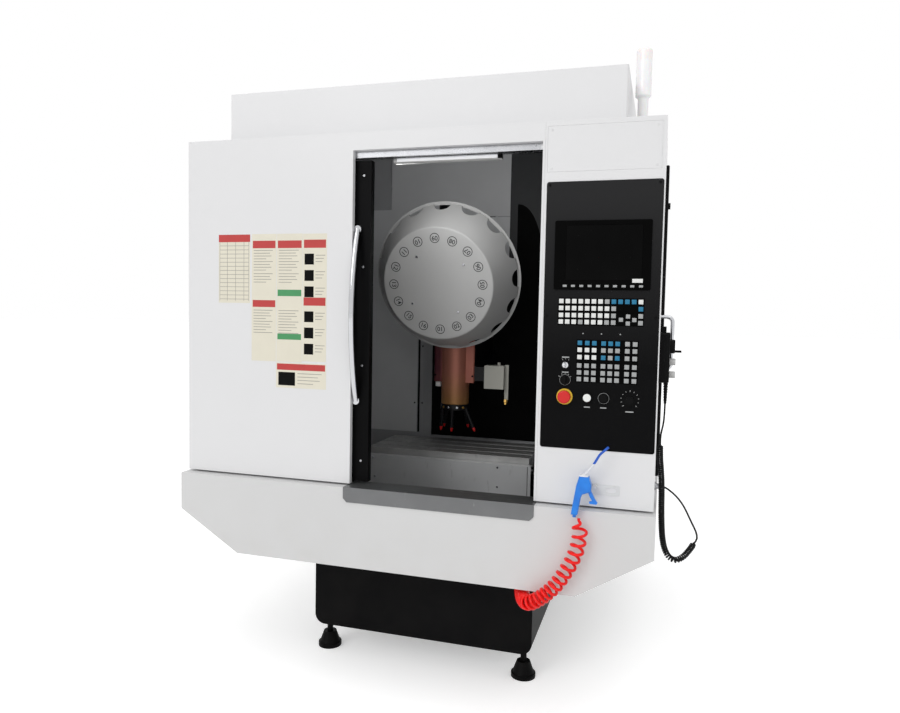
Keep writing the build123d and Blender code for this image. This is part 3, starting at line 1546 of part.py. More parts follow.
def corner_radii(points):
    """A radius for each corner of a cord's route, as large as its two runs allow."""
    radii = []
    for before, corner, after in zip(points, points[1:], points[2:]):
        run_in = Vector(*corner) - Vector(*before)
        run_out = Vector(*after) - Vector(*corner)
        half_turn = math.radians(run_in.get_angle(run_out)) / 2
        radii.append(0.45 * min(run_in.length, run_out.length) / math.tan(half_turn))
    return radii


def cord(points, diameter):
    """A round tube along straight runs and the tangent arcs between them."""
    radii = corner_radii(points)
    print("cord radii", [round(radius) for radius in radii])
    with BuildLine() as route:
        FilletPolyline(*points, radius=radii)
    with BuildSketch(Plane(route.line @ 0, z_dir=route.line % 0)) as section:
        Circle(diameter / 2)
    sweep(section.sketch, path=route.line)


# Pendant cable: it drops from the strain relief to the coil, and leaves the coil's lower end
# for the connector on the console's side, which stands a little further back.
coil_top = (897.4, 986)
coil_end = (1019, 660)
connector_back = 22
cable_drop = [(relief_x, 1122), (relief_x, 1084), (904.6, 1048), (897.4, 1018), coil_top]
cable_return = [
    (coil_end[0], 0, coil_end[1]), (1028, 0, 675.6), (1022, 2, 699), (1009, 6, 722), (996, 10, 748),
    (982, 14, 775), (964, 18, 799), (943, 21, 818), (924, connector_back, 831),
    (912, connector_back, connector_height),
    (cabin_right + connector_length, connector_back, connector_height),
]
with BuildPart() as pendant_cable:
    cord([(x, pendant_y, z) for x, z in cable_drop], cable_d)
    cord([(x, pendant_y + back, z) for x, back, z in cable_return], cable_d)
pendant_cable.part.label = "pendant_cable"
export_step(pendant_cable.part, "parts/pendant_cable.step")

# Pendant coil: the outer shape of the cable's curly part, which hangs in a long hook.
coil_route = [
    coil_top, (897.4, 944), (904, 888), (907.5, 828), (908.5, 765), (911, 712), (915, 664), (923, 628),
    (938, 601), (960, 592), (984, 606), (1004, 634), coil_end,
]
with BuildPart() as pendant_coil:
    cord([(x, pendant_y, z) for x, z in coil_route], coil_d)
pendant_coil.part.label = "pendant_coil"
export_step(pendant_coil.part, "parts/pendant_coil.step")

# Gun hook: a plate on the console's front with an oval latch recess, a small stop block and the
# pin that the gun hangs on.
with BuildPart() as gun_hook:
    with BuildSketch(facing(front_y)):
        with Locations((hook_left + hook_width / 2, hook_bottom + hook_height / 2)):
            RectangleRounded(hook_width, hook_height, 4)
        with Locations((hook_left + 100, hook_bottom + hook_height / 2)):
            Ellipse(17, 9, mode=Mode.SUBTRACT)
    extrude(amount=hook_thickness)
    with BuildSketch(facing(front_y)):
        with Locations((hook_pin_x, hook_pin_height)):
            Circle(hook_pin_d / 2)
    extrude(amount=hook_pin_length)
    block((690, 700), (front_y - 34, front_y), (842, 853))
gun_hook.part.label = "gun_hook"
export_step(gun_hook.part, "parts/gun_hook.step")

# Gun body: a moulded grip under a thick head, slotted for its trigger, with a blind hole that
# rests on the hook's pin, the nozzle tubes above and the hose coupling below.
gun_y = front_y - gun_back - gun_thickness / 2
gun_outline = [
    (650, 894), (663, 897), (680, 889), (688, 862), (687, 841), (661, 831), (655, 818), (646, 761),
    (625, 762), (640, 858),
]
trigger_pivot = (679, 850)
trigger_pin_r = 2.5
trigger_thickness = 10
hose_top = 752
with BuildPart() as gun_body:
    with BuildSketch(facing(front_y - gun_back)):
        with BuildLine():
            Polyline(*gun_outline, close=True)
        make_face()
    extrude(amount=gun_thickness)
    fillet(gun_body.faces().sort_by(Axis.Y)[0].edges(), 4)
    with BuildSketch(facing(front_y - gun_back)):
        with Locations((hook_pin_x, hook_pin_height - gun_rest)):
            Circle(hook_pin_d / 2 + gun_rest)
    extrude(amount=10, mode=Mode.SUBTRACT)
    block((668, 692), spread(gun_y, trigger_thickness + 0.8), (826, 861), Mode.SUBTRACT)
    with BuildSketch(facing(gun_y - trigger_thickness)):
        with Locations(trigger_pivot):
            Circle(trigger_pin_r + running_clearance)
    extrude(amount=-2 * trigger_thickness, mode=Mode.SUBTRACT)
    with Locations((635.7, gun_y, hose_top)):
        Cylinder(6, 12, align=(Align.CENTER, Align.CENTER, Align.MIN))
    with BuildLine() as nozzle_tube:
        Line((661.5, gun_y, 889), (693.5, gun_y, 931))
    with BuildSketch(Plane(nozzle_tube.line @ 0, z_dir=nozzle_tube.line % 0)):
        Circle(3)
    sweep()
    with BuildLine() as tip_tube:
        FilletPolyline((693.5, gun_y, 931), (712.4, gun_y, 964.6), (738.8, gun_y, 990), radius=30)
    with BuildSketch(Plane(tip_tube.line @ 0, z_dir=tip_tube.line % 0)):
        Circle(4)
    sweep()
gun_body.part.label = "gun_body"
export_step(gun_body.part, "parts/gun_body.step")

# Gun trigger: a curved lever with the pin that it turns on.
with BuildPart() as gun_trigger:
    with BuildSketch(facing(gun_y + trigger_thickness / 2)):
        with BuildLine():
            Polyline(
                (674, 846), (676, 856), (683, 855), (690, 838), (699, 820), (709, 806), (706, 800),
                (684, 801), (682, 807), (692, 811), (685, 822), (679, 836),
                close=True,
            )
        make_face()
    extrude(amount=trigger_thickness)
    with BuildSketch(facing(gun_y + trigger_thickness - 1)):
        with Locations(trigger_pivot):
            Circle(trigger_pin_r)
    extrude(amount=2 * trigger_thickness - 2)
gun_trigger.part.label = "gun_trigger"
export_step(gun_trigger.part, "parts/gun_trigger.step")

# Air hose: the outer shape of the curly hose, from the gun down in front of the apron and back
# under it to its fitting on the bed.
fitting_face = 222
hose_route = [
    (652, -72, hose_top), (652, -72, 733), (658, -75, 708), (655.2, -76, 681), (649.7, -76, 650.8),
    (639.8, -76, 623), (627.3, -76, 594.6), (610.9, -76, 565.8), (594, -76, 537), (572.7, -76, 509.2),
    (547, -76, 484), (520.7, -76, 463), (496, -66, 447), (478, -42, 440), (464, -8, 438), (452, 34, 438),
    (442, 82, 438), (434, 135, 438), (430, 180, 438), (430, fitting_face, 438),
]
with BuildPart() as air_hose:
    cord([(x, front_y + setback, z) for x, setback, z in hose_route], hose_coil_d)
air_hose.part.label = "air_hose"
export_step(air_hose.part, "parts/air_hose.step")

# Couplings: the pendant's round connector on the console's side, and the hose fitting on the
# front of the bed.
with BuildPart() as couplings:
    with BuildSketch(Plane.YZ.offset(cabin_right)):
        with Locations((pendant_y + connector_back, connector_height)):
            Circle(14)
    extrude(amount=4)
    with BuildSketch(Plane.YZ.offset(cabin_right)):
        with Locations((pendant_y + connector_back, connector_height)):
            Circle(9.5)
    extrude(amount=connector_length)
    with BuildSketch(facing(bed_front)):
        with Locations((hose_route[-1][0], hose_route[-1][2])):
            RegularPolygon(15, 6)
    extrude(amount=bed_front - front_y - fitting_face)
couplings.part.label = "couplings"
export_step(couplings.part, "parts/couplings.step")
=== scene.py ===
"""The looks of a drilling and tapping centre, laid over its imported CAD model.

All places are in metres in the model's own frame: X to the operator's right, Y into the
machine, Z up from the floor.
"""
import json
import math

import bmesh
import bpy
from mathutils import Matrix, Vector


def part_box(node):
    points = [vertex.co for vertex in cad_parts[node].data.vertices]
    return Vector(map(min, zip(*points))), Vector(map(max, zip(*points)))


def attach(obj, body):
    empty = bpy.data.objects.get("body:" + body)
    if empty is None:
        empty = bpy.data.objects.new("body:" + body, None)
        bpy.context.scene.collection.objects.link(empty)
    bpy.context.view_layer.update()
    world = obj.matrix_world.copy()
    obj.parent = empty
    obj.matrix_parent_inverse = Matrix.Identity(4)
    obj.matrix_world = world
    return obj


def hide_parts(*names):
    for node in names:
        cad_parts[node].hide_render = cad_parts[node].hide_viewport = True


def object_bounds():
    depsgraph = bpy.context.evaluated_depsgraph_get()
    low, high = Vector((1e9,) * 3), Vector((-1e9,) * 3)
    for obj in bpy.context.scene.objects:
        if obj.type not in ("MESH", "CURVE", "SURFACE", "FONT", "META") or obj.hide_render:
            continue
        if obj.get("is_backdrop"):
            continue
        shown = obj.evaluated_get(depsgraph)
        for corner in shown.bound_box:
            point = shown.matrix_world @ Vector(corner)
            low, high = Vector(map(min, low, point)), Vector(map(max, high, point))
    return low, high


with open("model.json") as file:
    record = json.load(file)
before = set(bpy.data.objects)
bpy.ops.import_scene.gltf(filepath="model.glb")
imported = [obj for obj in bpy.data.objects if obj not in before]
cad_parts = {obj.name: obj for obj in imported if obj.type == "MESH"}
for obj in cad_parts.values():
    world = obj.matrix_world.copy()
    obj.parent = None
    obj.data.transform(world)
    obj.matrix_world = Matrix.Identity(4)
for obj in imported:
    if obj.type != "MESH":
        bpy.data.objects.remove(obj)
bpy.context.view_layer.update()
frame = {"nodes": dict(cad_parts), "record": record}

# Camera: the photograph's eye point and lens, 28.7 mm on a 36 mm frame, looking in from the
# console's side, a little below level.
EYE = (0.896, -3.475, 1.408)
camera = bpy.data.objects.new("camera", bpy.data.cameras.new("camera"))
camera.data.sensor_fit = "HORIZONTAL"
camera.data.sensor_width = 36
camera.data.lens = 28.72
camera.data.clip_end = 200
view_line = Vector((-0.2845, 0.9574, -0.0593)).normalized()
view_right = Vector((0.958, 0.284, 0.0198))
view_right = (view_right - view_line * view_right.dot(view_line)).normalized()
view_turn = Matrix((view_right, view_right.cross(view_line), -view_line)).transposed().to_4x4()
camera.matrix_world = Matrix.Translation(EYE) @ view_turn
bpy.context.scene.collection.objects.link(camera)
bpy.context.scene.camera = camera

# Pendant lead: a black 6 mm lead that drops from the pendant, hangs in a tight curl with a loop
# at its foot, and comes back up straight to a socket on the console's side.
FRONT = -1.075  # the cabin's front face
PENDANT_Y = FRONT + 0.100
LEAD_THICKNESS = 0.006
CURL_RADIUS, CURL_PITCH = 0.008, 0.0064


def strand(name, points, thickness, steps):
    """A round cord whose line is one smooth NURBS spline with these control points."""
    curve = bpy.data.curves.new(name, "CURVE")
    curve.dimensions = "3D"
    curve.bevel_depth = thickness / 2
    curve.bevel_resolution = 3
    curve.use_fill_caps = True
    spline = curve.splines.new("NURBS")
    spline.points.add(len(points) - 1)
    for point, place in zip(spline.points, points):
        point.co = (place[0], place[1], place[2], 1)
    spline.order_u = 3
    spline.use_endpoint_u = True
    spline.resolution_u = steps
    piece = bpy.data.objects.new(name, curve)
    bpy.context.scene.collection.objects.link(piece)
    return piece


def smooth_line(route):
    """Points read from the smooth line through a route, every millimetre or so."""
    guide = strand("guide", route, 0, 40)
    mesh = bpy.data.meshes.new_from_object(guide)
    points = [vertex.co.copy() for vertex in mesh.vertices]
    bpy.data.meshes.remove(mesh)
    curve = guide.data
    bpy.data.objects.remove(guide)
    bpy.data.curves.remove(curve)
    return points


def ease(share):
    """A smooth rise from 0 to 1."""
    share = min(1.0, max(0.0, share))
    return share * share * (3 - 2 * share)


def coil_points(route, radius, pitch_at, start_turn=0.0):
    """Control points of a coil round a route. pitch_at gives the rise of a turn by the share
    of the way along; the turns spread where the route bends, so that they never meet."""
    per_turn = 14
    line = smooth_line(route)
    travelled = [0.0]
    for a, b in zip(line, line[1:]):
        travelled.append(travelled[-1] + (b - a).length)
    whole = travelled[-1]
    side = (line[1] - line[0]).normalized().orthogonal().normalized()
    points, way, turn, place = [], 0.0, start_turn, 0
    while way < whole:
        while place < len(line) - 2 and travelled[place + 1] < way:
            place += 1
        span = max(travelled[place + 1] - travelled[place], 1e-9)
        here = line[place].lerp(line[place + 1], min(max((way - travelled[place]) / span, 0), 1))
        behind, ahead = line[max(place - 6, 0)], line[min(place + 7, len(line) - 1)]
        along = (ahead - behind).normalized()
        into = (line[place] - behind).normalized() if place > 5 else along
        out = (ahead - line[place]).normalized() if place < len(line) - 7 else along
        bend = 2 * into.angle(out, 0) / max((ahead - behind).length, 1e-6)
        side = (side - along * side.dot(along)).normalized()
        starting = ease((way - radius / 4) / (1.2 * radius))
        ending = ease((whole - way) / (1.2 * radius))
        across = side * math.cos(turn) + along.cross(side) * math.sin(turn)
        points.append(here + across * max(radius * starting * ending, 0))
        pitch = pitch_at(way / whole) / max(1 - radius * bend, 0.4)
        way += pitch / per_turn
        turn += 2 * math.pi / per_turn
    return points


def tone(red, green=None, blue=None):
    """A screen tone from 0 to 255 as linear light; one number makes a neutral grey."""
    parts = (red, red if green is None else green, red if blue is None else blue)
    light = [p / 255 / 12.92 if p < 10 else ((p / 255 + 0.055) / 1.055) ** 2.4 for p in parts]
    return (*light, 1.0)


class Level:
    """A value inside a finish. A product, the larger of two and a sine add Math nodes."""

    def __init__(self, finish, socket):
        self.finish, self.socket = finish, socket

    def math(self, kind, other=0.0):
        return self.finish.node("ShaderNodeMath", {"operation": kind}, {0: self, 1: other})

    def __mul__(self, other):
        return self.math("MULTIPLY", other)

    def __or__(self, other):
        return self.math("MAXIMUM", other)

    def sine(self):
        return self.math("SINE")


class Finish:
    """One procedural material on the Principled shader, whose constants sit on its sockets."""

    def __init__(self, name, color, rough, metal=0.0, **constants):
        self.material = bpy.data.materials.new(name)
        self.material.use_nodes = True
        self.tree = self.material.node_tree
        self.shader = self.tree.nodes["Principled BSDF"]
        constants.update({"Base_Color": color, "Roughness": rough, "Metallic": metal})
        for socket, value in constants.items():
            self.shader.inputs[socket.replace("_", " ")].default_value = value
        self.place = self.node("ShaderNodeTexCoord", output="Object")

    def node(self, kind, settings=None, sockets=None, output=0):
        """Any node: its type, its settings, then the values or links of its sockets."""
        made = self.tree.nodes.new(kind)
        for name, value in (settings or {}).items():
            setattr(made, name, value)
        for name, value in (sockets or {}).items():
            if isinstance(value, Level):
                self.tree.links.new(value.socket, made.inputs[name])
            else:
                made.inputs[name].default_value = value
        return Level(self, made.outputs[output])

    def feed(self, socket, value):
        self.tree.links.new(value.socket, self.shader.inputs[socket])

    def noise(self, scale, detail=3.0, stretch=None):
        """Noise by the place on the part, drawn out along an axis where stretch is small."""
        where = self.place
        if stretch:
            where = self.node("ShaderNodeMapping", {}, {"Vector": where, "Scale": stretch})
        sockets = {"Vector": where, "Scale": scale, "Detail": detail}
        return self.node("ShaderNodeTexNoise", {}, sockets, "Fac")

    def along(self, axis):
        """The place along one axis, in metres."""
        return self.node("ShaderNodeSeparateXYZ", {}, {"Vector": self.place}, axis)

    def between(self, value, low, high, to_low=0.0, to_high=1.0):
        """A value that goes from to_low at low to to_high at high."""
        sockets = {"Value": value, "From Min": low, "From Max": high}
        sockets.update({"To Min": to_low, "To Max": to_high})
        return self.node("ShaderNodeMapRange", {}, sockets, "Result")

    def blend(self, share, first, second):
        """A colour between two."""
        return self.node("ShaderNodeMix", {"data_type": "RGBA"}, {0: share, 6: first, 7: second}, 2)

    def relief(self, height, strength, depth=0.0004):
        """Fine bumps by a height; depth is what they measure at full strength."""
        sockets = {"Strength": strength, "Distance": depth, "Height": height}
        self.feed("Normal", self.node("ShaderNodeBump", {}, sockets, "Normal"))

    def edges(self, width):
        """One on sharp edges, nought on flat faces."""
        rounded = self.node("ShaderNodeBevel", {"samples": 4}, {"Radius": width}, "Normal")
        flat = self.node("ShaderNodeNewGeometry", output="Normal")
        pair = {0: rounded, 1: flat}
        alike = self.node("ShaderNodeVectorMath", {"operation": "DOT_PRODUCT"}, pair, "Value")
        return self.between(alike, 0.985, 0.80)


def surface(
    name, color, rough, metal=0.0, vary=0.04, patch=3.0, grain=500.0, relief=0.05, stretch=None,
    scuffs=None, edge_wear_and_highlight=None, edge_width=0.0012, dust=None, **constants,
):
    """A finish whose colour drifts in patches and whose fine grain moves its gloss and relief.
    scuffs gives the colour of sparse marks, and the edge colour that of sharp edges: rubbed edges,
    and on the white paints a painted edge highlight. dust is a colour that settles where the part
    is low."""
    made = Finish(name, color, rough, metal, **constants)
    fine = made.noise(grain, 2.0, stretch)
    broad = made.between(made.noise(patch, 4.0), 0.3, 0.7)
    darker = (*[part * (1 - vary) for part in color[:3]], 1.0)
    lighter = (*[min(1.0, part * (1 + vary)) for part in color[:3]], 1.0)
    shown = made.blend(broad, darker, lighter)
    if scuffs:
        marks = made.between(made.noise(34.0, 6.0, (1.0, 1.0, 0.3)), 0.64, 0.74, 0.0, 0.5)
        shown = made.blend(marks, shown, scuffs)
    if edge_wear_and_highlight:
        rubbed_and_highlit = made.edges(edge_width) * made.between(made.noise(60.0, 5.0), 0.35, 0.62)
        shown = made.blend(rubbed_and_highlit, shown, edge_wear_and_highlight)
    if dust:
        low = made.between(made.along("Z"), 0.75, 0.05)
        settled = low * made.between(made.noise(9.0, 6.0), 0.35, 0.75, 0.0, 0.6)
        shown = made.blend(settled, shown, dust)
    made.feed("Base Color", shown)
    made.feed("Roughness", made.between(fine, 0.25, 0.75, rough - 0.06, rough + 0.06))
    made.relief(fine, relief)
    return made


def coat(finish, slot=None, nodes=()):
    """Give a finish to every CAD node of a material slot, or to the nodes that are named."""
    for part in frame["record"]["subparts"]:
        if part["material_slot"] == slot or part["node"] in nodes:
            node = frame["nodes"][part["node"]]
            if not node.material_slots:
                node.data.materials.append(finish.material)
            for place in node.material_slots:
                place.material = finish.material


cable_drop = [(0.9076, 1.122), (0.9076, 1.084), (0.9046, 1.048), (0.8974, 1.018), (0.8974, 0.986)]
coil_route = [
    (0.8974, 0.986), (0.8974, 0.944), (0.904, 0.888), (0.9075, 0.828), (0.9085, 0.765),
    (0.911, 0.712), (0.915, 0.664), (0.923, 0.628), (0.938, 0.601), (0.960, 0.592),
    (0.984, 0.606), (1.004, 0.634), (1.019, 0.660),
]
cable_return = [
    (1.019, 0, 0.660), (1.028, 0, 0.6756), (1.022, 0.002, 0.699), (1.009, 0.006, 0.722),
    (0.996, 0.010, 0.748), (0.982, 0.014, 0.775), (0.964, 0.018, 0.799), (0.943, 0.021, 0.818),
    (0.924, 0.022, 0.831), (0.912, 0.022, 0.836), (0.900, 0.022, 0.836),
]
lead = [(x, PENDANT_Y, z) for x, z in cable_drop]
curl_line = [(x, PENDANT_Y, z) for x, z in coil_route]
lead += coil_points(curl_line, CURL_RADIUS, lambda share: CURL_PITCH)[1:-1]
lead += [(x, PENDANT_Y + back, z) for x, back, z in cable_return]
pendant_lead = strand("pendant_lead", lead, LEAD_THICKNESS, 2)
cable_black = surface(
    "cable_black", tone(14, 14, 15), 0.52, vary=0.12, patch=40.0, grain=1400, relief=0.10,
    Specular_IOR_Level=0.2,
)
pendant_lead.data.materials.append(cable_black.material)
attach(pendant_lead, "machine")
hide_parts("pendant_cable", "pendant_coil")

# Blow hose: a red 10 mm tube wound in 44 mm coils, open under the gun and pressed together
# where it lies in its bend, that ends in a fitting under the apron.
HOSE_THICKNESS, HOSE_COIL_RADIUS = 0.010, 0.022
OPEN_PITCH, PRESSED_PITCH = 0.0265, 0.0110
hose_route = [
    (0.652, -0.072, 0.752), (0.652, -0.072, 0.733), (0.658, -0.075, 0.708), (0.6552, -0.076, 0.681),
    (0.6497, -0.076, 0.6508), (0.6398, -0.076, 0.623), (0.6273, -0.076, 0.5946),
    (0.6109, -0.076, 0.5658), (0.594, -0.076, 0.537), (0.5727, -0.076, 0.5092),
    (0.547, -0.076, 0.484),
    (0.5207, -0.076, 0.463), (0.496, -0.066, 0.447), (0.478, -0.042, 0.440), (0.464, -0.008, 0.438),
    (0.452, 0.034, 0.438), (0.442, 0.082, 0.438), (0.434, 0.135, 0.438), (0.430, 0.180, 0.438),
    (0.430, 0.222, 0.438),
]


def hose_pitch(share):
    """Open turns over the first third of the way, pressed together past its middle."""
    pressed = min(1, max(0, (share - 0.30) / 0.22))
    return OPEN_PITCH - (OPEN_PITCH - PRESSED_PITCH) * pressed


hose_line = [(x, FRONT + back, z) for x, back, z in hose_route]
hose = coil_points(hose_line, HOSE_COIL_RADIUS, hose_pitch, 1.2)
blow_hose = strand("blow_hose", hose, HOSE_THICKNESS, 2)
hose_red = surface(
    "hose_red", tone(238, 8, 2), 0.30, vary=0.06, patch=30.0, grain=900, relief=0.03,
    Coat_Weight=0.08, Coat_Roughness=0.12, Specular_IOR_Level=0.3,
)
blow_hose.data.materials.append(hose_red.material)
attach(blow_hose, "machine")
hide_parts("air_hose")

# Cabin sheets: powder-coated steel in a warm white, dusty near the floor, with a lighter colour on
# their edges that is a painted edge highlight. The hood behind the front is the same sheet in a
# slightly lighter coat.
white = surface(
    "white_paint", tone(222, 222, 223), 0.38, vary=0.012, patch=1.6, grain=900, relief=0.035,
    edge_wear_and_highlight=tone(240), edge_width=0.0015, dust=tone(205, 203, 198), Coat_Weight=0.15,
    Coat_Roughness=0.2,
)
coat(white, "white_paint")
shell_white = surface(
    "shell_paint", tone(209, 209, 209), 0.42, vary=0.012, patch=1.6, grain=900, relief=0.035,
    edge_wear_and_highlight=tone(230), edge_width=0.0015, dust=tone(194, 192, 187),
)
coat(shell_white, nodes=("lower_shell",))
hood = surface(
    "hood_paint", tone(224, 224, 225), 0.42, vary=0.012, patch=1.6, grain=900, relief=0.035,
    edge_wear_and_highlight=tone(234), edge_width=0.0015, Coat_Weight=0.1, Coat_Roughness=0.25,
)
coat(hood, "hood_paint")

# Base and door frame: the cast bed, its levelling feet and the sheets round the opening in
# black textured paint, dusty low down.
black = surface(
    "black_paint", tone(6, 6, 7), 0.46, vary=0.3, patch=2.2, grain=620, relief=0.10,
    edge_wear_and_highlight=tone(40, 39, 38), dust=tone(22, 21, 20), Specular_IOR_Level=0.06,
)
coat(black, "black_paint")

# Bare metal: brushed sheet on the sill and the gun's hook, ground steel on the screws, rails,
# couplings, carrier and track, and bright plating on handle, hanger and key switch.
steel = surface(
    "sheet_steel", tone(112, 113, 114), 0.40, metal=0.75, vary=0.10, patch=5.0, grain=240,
    relief=0.08, stretch=(0.06, 1.0, 1.0), scuffs=tone(168),
)
coat(steel, "sheet_steel")
bright_sheet = surface(
    "bright_sheet", tone(206, 207, 208), 0.34, metal=0.25, vary=0.05, patch=12.0, grain=300,
    relief=0.05, stretch=(0.1, 1.0, 1.0), scuffs=tone(160),
)
coat(bright_sheet, nodes=("gun_hook",))
machined = surface(
    "machined_steel", tone(168, 169, 172), 0.26, metal=1.0, vary=0.07, patch=9.0, grain=420,
    relief=0.06, stretch=(1.0, 0.12, 1.0), scuffs=tone(205),
)
coat(machined, "machined_steel")
chrome = surface(
    "chrome", tone(196, 197, 200), 0.10, metal=1.0, vary=0.02, patch=30.0, grain=700,
    relief=0.015,
)
coat(chrome, "chrome")

# Work space: the liner's sheets, lapped and screwed on its back wall, light above the magazine, a
# sheet at the left whose pale colour is a painted highlight, and a dark flexible sheet with a
# rounded shoulder at the right.


class Piece:
    """One mesh, gathered from shapes, that rides on a body; the material slot it is given is not
    used.
    """

    def __init__(self, name, body, slot):
        self.name, self.body, self.slot = name, body, slot
        self.mesh = bmesh.new()
        self.looks = []

    def join(self, shape, at, look):
        """Move a finished shape to its place, give it its finish and gather it in the piece."""
        if look.material not in self.looks:
            self.looks.append(look.material)
        for face in shape.faces:
            face.material_index = self.looks.index(look.material)
        shape.transform(at)
        part = bpy.data.meshes.new("part")
        shape.to_mesh(part)
        shape.free()
        self.mesh.from_mesh(part)
        bpy.data.meshes.remove(part)

    def box(self, low, high, look, soft=0.0, at=Matrix()):
        """A square block between two corners of the frame at, with softened edges."""
        shape = bmesh.new()
        low, high = Vector(low), Vector(high)
        size = Matrix.Diagonal((*(high - low), 1))
        bmesh.ops.create_cube(shape, matrix=Matrix.Translation((low + high) / 2) @ size)
        if soft:
            bmesh.ops.bevel(
                shape, geom=shape.edges[:], offset=soft, segments=2, affect="EDGES", profile=0.5,
                material=-1,
            )
        self.join(shape, at, look)

    def turned(self, at, outline, look, closed=False, segments=40):
        """An outline of (radius, height) spun about the Z axis of the frame at."""
        shape = bmesh.new()
        dots = [shape.verts.new((radius, 0, height)) for radius, height in outline]
        pairs = list(zip(dots, dots[1:])) + ([(dots[-1], dots[0])] if closed else [])
        line = [shape.edges.new(pair) for pair in pairs]
        bmesh.ops.spin(
            shape, geom=dots + line, cent=(0, 0, 0), axis=(0, 0, 1), angle=2 * math.pi,
            steps=segments, use_merge=True,
        )
        self.join(shape, at, look)

    def flat(self, at, corners, thickness, look):
        """A sheet with this outline in the frame at, raised by its thickness along Z."""
        shape = bmesh.new()
        outline = shape.faces.new([shape.verts.new((x, y, 0)) for x, y in corners])
        raised = bmesh.ops.extrude_face_region(shape, geom=[outline])["geom"]
        corners_up = [item for item in raised if isinstance(item, bmesh.types.BMVert)]
        bmesh.ops.translate(shape, verts=corners_up, vec=(0, 0, thickness))
        self.join(shape, at, look)

    def letters(self, at, text, size, look):
        """Raised lettering, centred on the origin of the frame at."""
        curve = bpy.data.curves.new("letters", "FONT")
        curve.body, curve.size = text, size
        curve.align_x, curve.align_y = "CENTER", "CENTER"
        curve.extrude, curve.offset = 0.00015, 0.0004
        writer = bpy.data.objects.new("letters", curve)
        mesh = bpy.data.meshes.new_from_object(writer)
        shape = bmesh.new()
        shape.from_mesh(mesh)
        self.join(shape, at, look)
        bpy.data.objects.remove(writer)
        bpy.data.meshes.remove(mesh)

    def done(self, smooth=True):
        """Clean the mesh and put the finished piece in the scene."""
        bmesh.ops.remove_doubles(self.mesh, verts=self.mesh.verts, dist=1e-6)
        bmesh.ops.dissolve_degenerate(self.mesh, edges=self.mesh.edges, dist=1e-6)
        bmesh.ops.recalc_face_normals(self.mesh, faces=self.mesh.faces)
        data = bpy.data.meshes.new(self.name)
        self.mesh.to_mesh(data)
        self.mesh.free()
        for material in self.looks:
            data.materials.append(material)
        piece = bpy.data.objects.new(self.name, data)
        bpy.context.scene.collection.objects.link(piece)
        if smooth:
            for polygon in data.polygons:
                polygon.use_smooth = True
            data.set_sharp_from_angle(angle=math.radians(35))
        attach(piece, self.body)
        return piece


def facing(x, z, y=FRONT):
    """A frame that faces the operator: its X is across, its Y is up and its Z comes forward."""
    return Matrix(((1, 0, 0, x), (0, 0, -1, y), (0, 1, 0, z), (0, 0, 0, 1)))


def screw_head(piece, at, radius, look):
    """A low cheese-head screw with a socket."""
    top = radius * 0.45
    outline = [(0, 0), (radius, 0), (radius, top * 0.7), (radius * 0.85, top)]
    outline += [(radius * 0.45, top), (radius * 0.42, top * 0.35), (0, top * 0.35)]
    piece.turned(at, outline, look, segments=20)


liner_steel = surface(
    "liner_sheet", tone(176, 177, 179), 0.50, metal=0.1, vary=0.10, patch=2.6, grain=300,
    relief=0.06, stretch=(1.0, 1.0, 0.06), scuffs=tone(140), dust=tone(110, 108, 105),
)
coat(liner_steel, nodes=("liner",))
# The left sheet's pale colour is a painted highlight; the sheets above the magazine share this
# finish.
pale_and_highlit_sheet = surface(
    "pale_and_highlit_sheet", tone(222, 223, 224), 0.46, vary=0.05, patch=3.0, grain=600, relief=0.04,
)
rear_sheet = surface(
    "rear_sheet", tone(52, 53, 55), 0.60, vary=0.12, patch=4.0, grain=500, relief=0.06,
)
gap_dark = surface(
    "gap_dark", tone(9), 0.70, vary=0.2, patch=12.0, grain=600, relief=0.08,
    Specular_IOR_Level=0.08,
)
BACK_WALL = FRONT + 1.0675
SHEET = 0.0015
CEILING, SHEET_FOOT, STRIP_TOP = 2.232, 0.800, 1.330
wall = facing(0, 0, BACK_WALL)
sheets = Piece("work_space_sheets", "machine", "sheet_steel")
for left, right, foot, top, thickness, look in (
    (-0.686, -0.306, SHEET_FOOT, 1.932, SHEET, pale_and_highlit_sheet),
    (-0.686, -0.464, 1.938, CEILING, SHEET, liner_steel),
    # The thin dark strip where the left sheets part is painted shade in that gap.
    (-0.302, -0.292, SHEET_FOOT, STRIP_TOP, 0.0006, gap_dark),
    (-0.290, -0.230, SHEET_FOOT, STRIP_TOP, SHEET, liner_steel),
    (-0.226, 0.196, 0.792, 1.480, 0.0028, gap_dark),
    (-0.460, 0.158, 1.560, 1.886, 0.0030, pale_and_highlit_sheet),
    (-0.460, 0.158, 1.890, CEILING, 0.0022, pale_and_highlit_sheet),
    (0.158, 0.686, 0.790, CEILING, 0.0018, rear_sheet),
):
    corners = [(left, foot), (right, foot), (right, top), (left, top)]
    sheets.flat(wall, corners, thickness, look)
shoulder = [(0.640, 0.792), (0.640, 1.560), (0.420, 1.560)]
for step in range(10, -1, -1):
    turn = step / 10 * math.pi / 2
    shoulder.append((0.200 + 0.125 * math.sin(turn), 1.645 + 0.300 * math.cos(turn)))
shoulder += [(0.196, 1.944), (0.196, 0.792)]
sheets.flat(wall, shoulder, 0.003, gap_dark)
for x, z in (
    (-0.675, 1.90), (-0.675, 1.45), (-0.675, 0.95), (-0.318, 1.90), (-0.318, 1.45),
    (-0.318, 0.95), (-0.278, 1.24), (-0.278, 0.95),
):
    screw_head(sheets, facing(x, z, BACK_WALL - SHEET), 0.005, machined)
sheets.done()

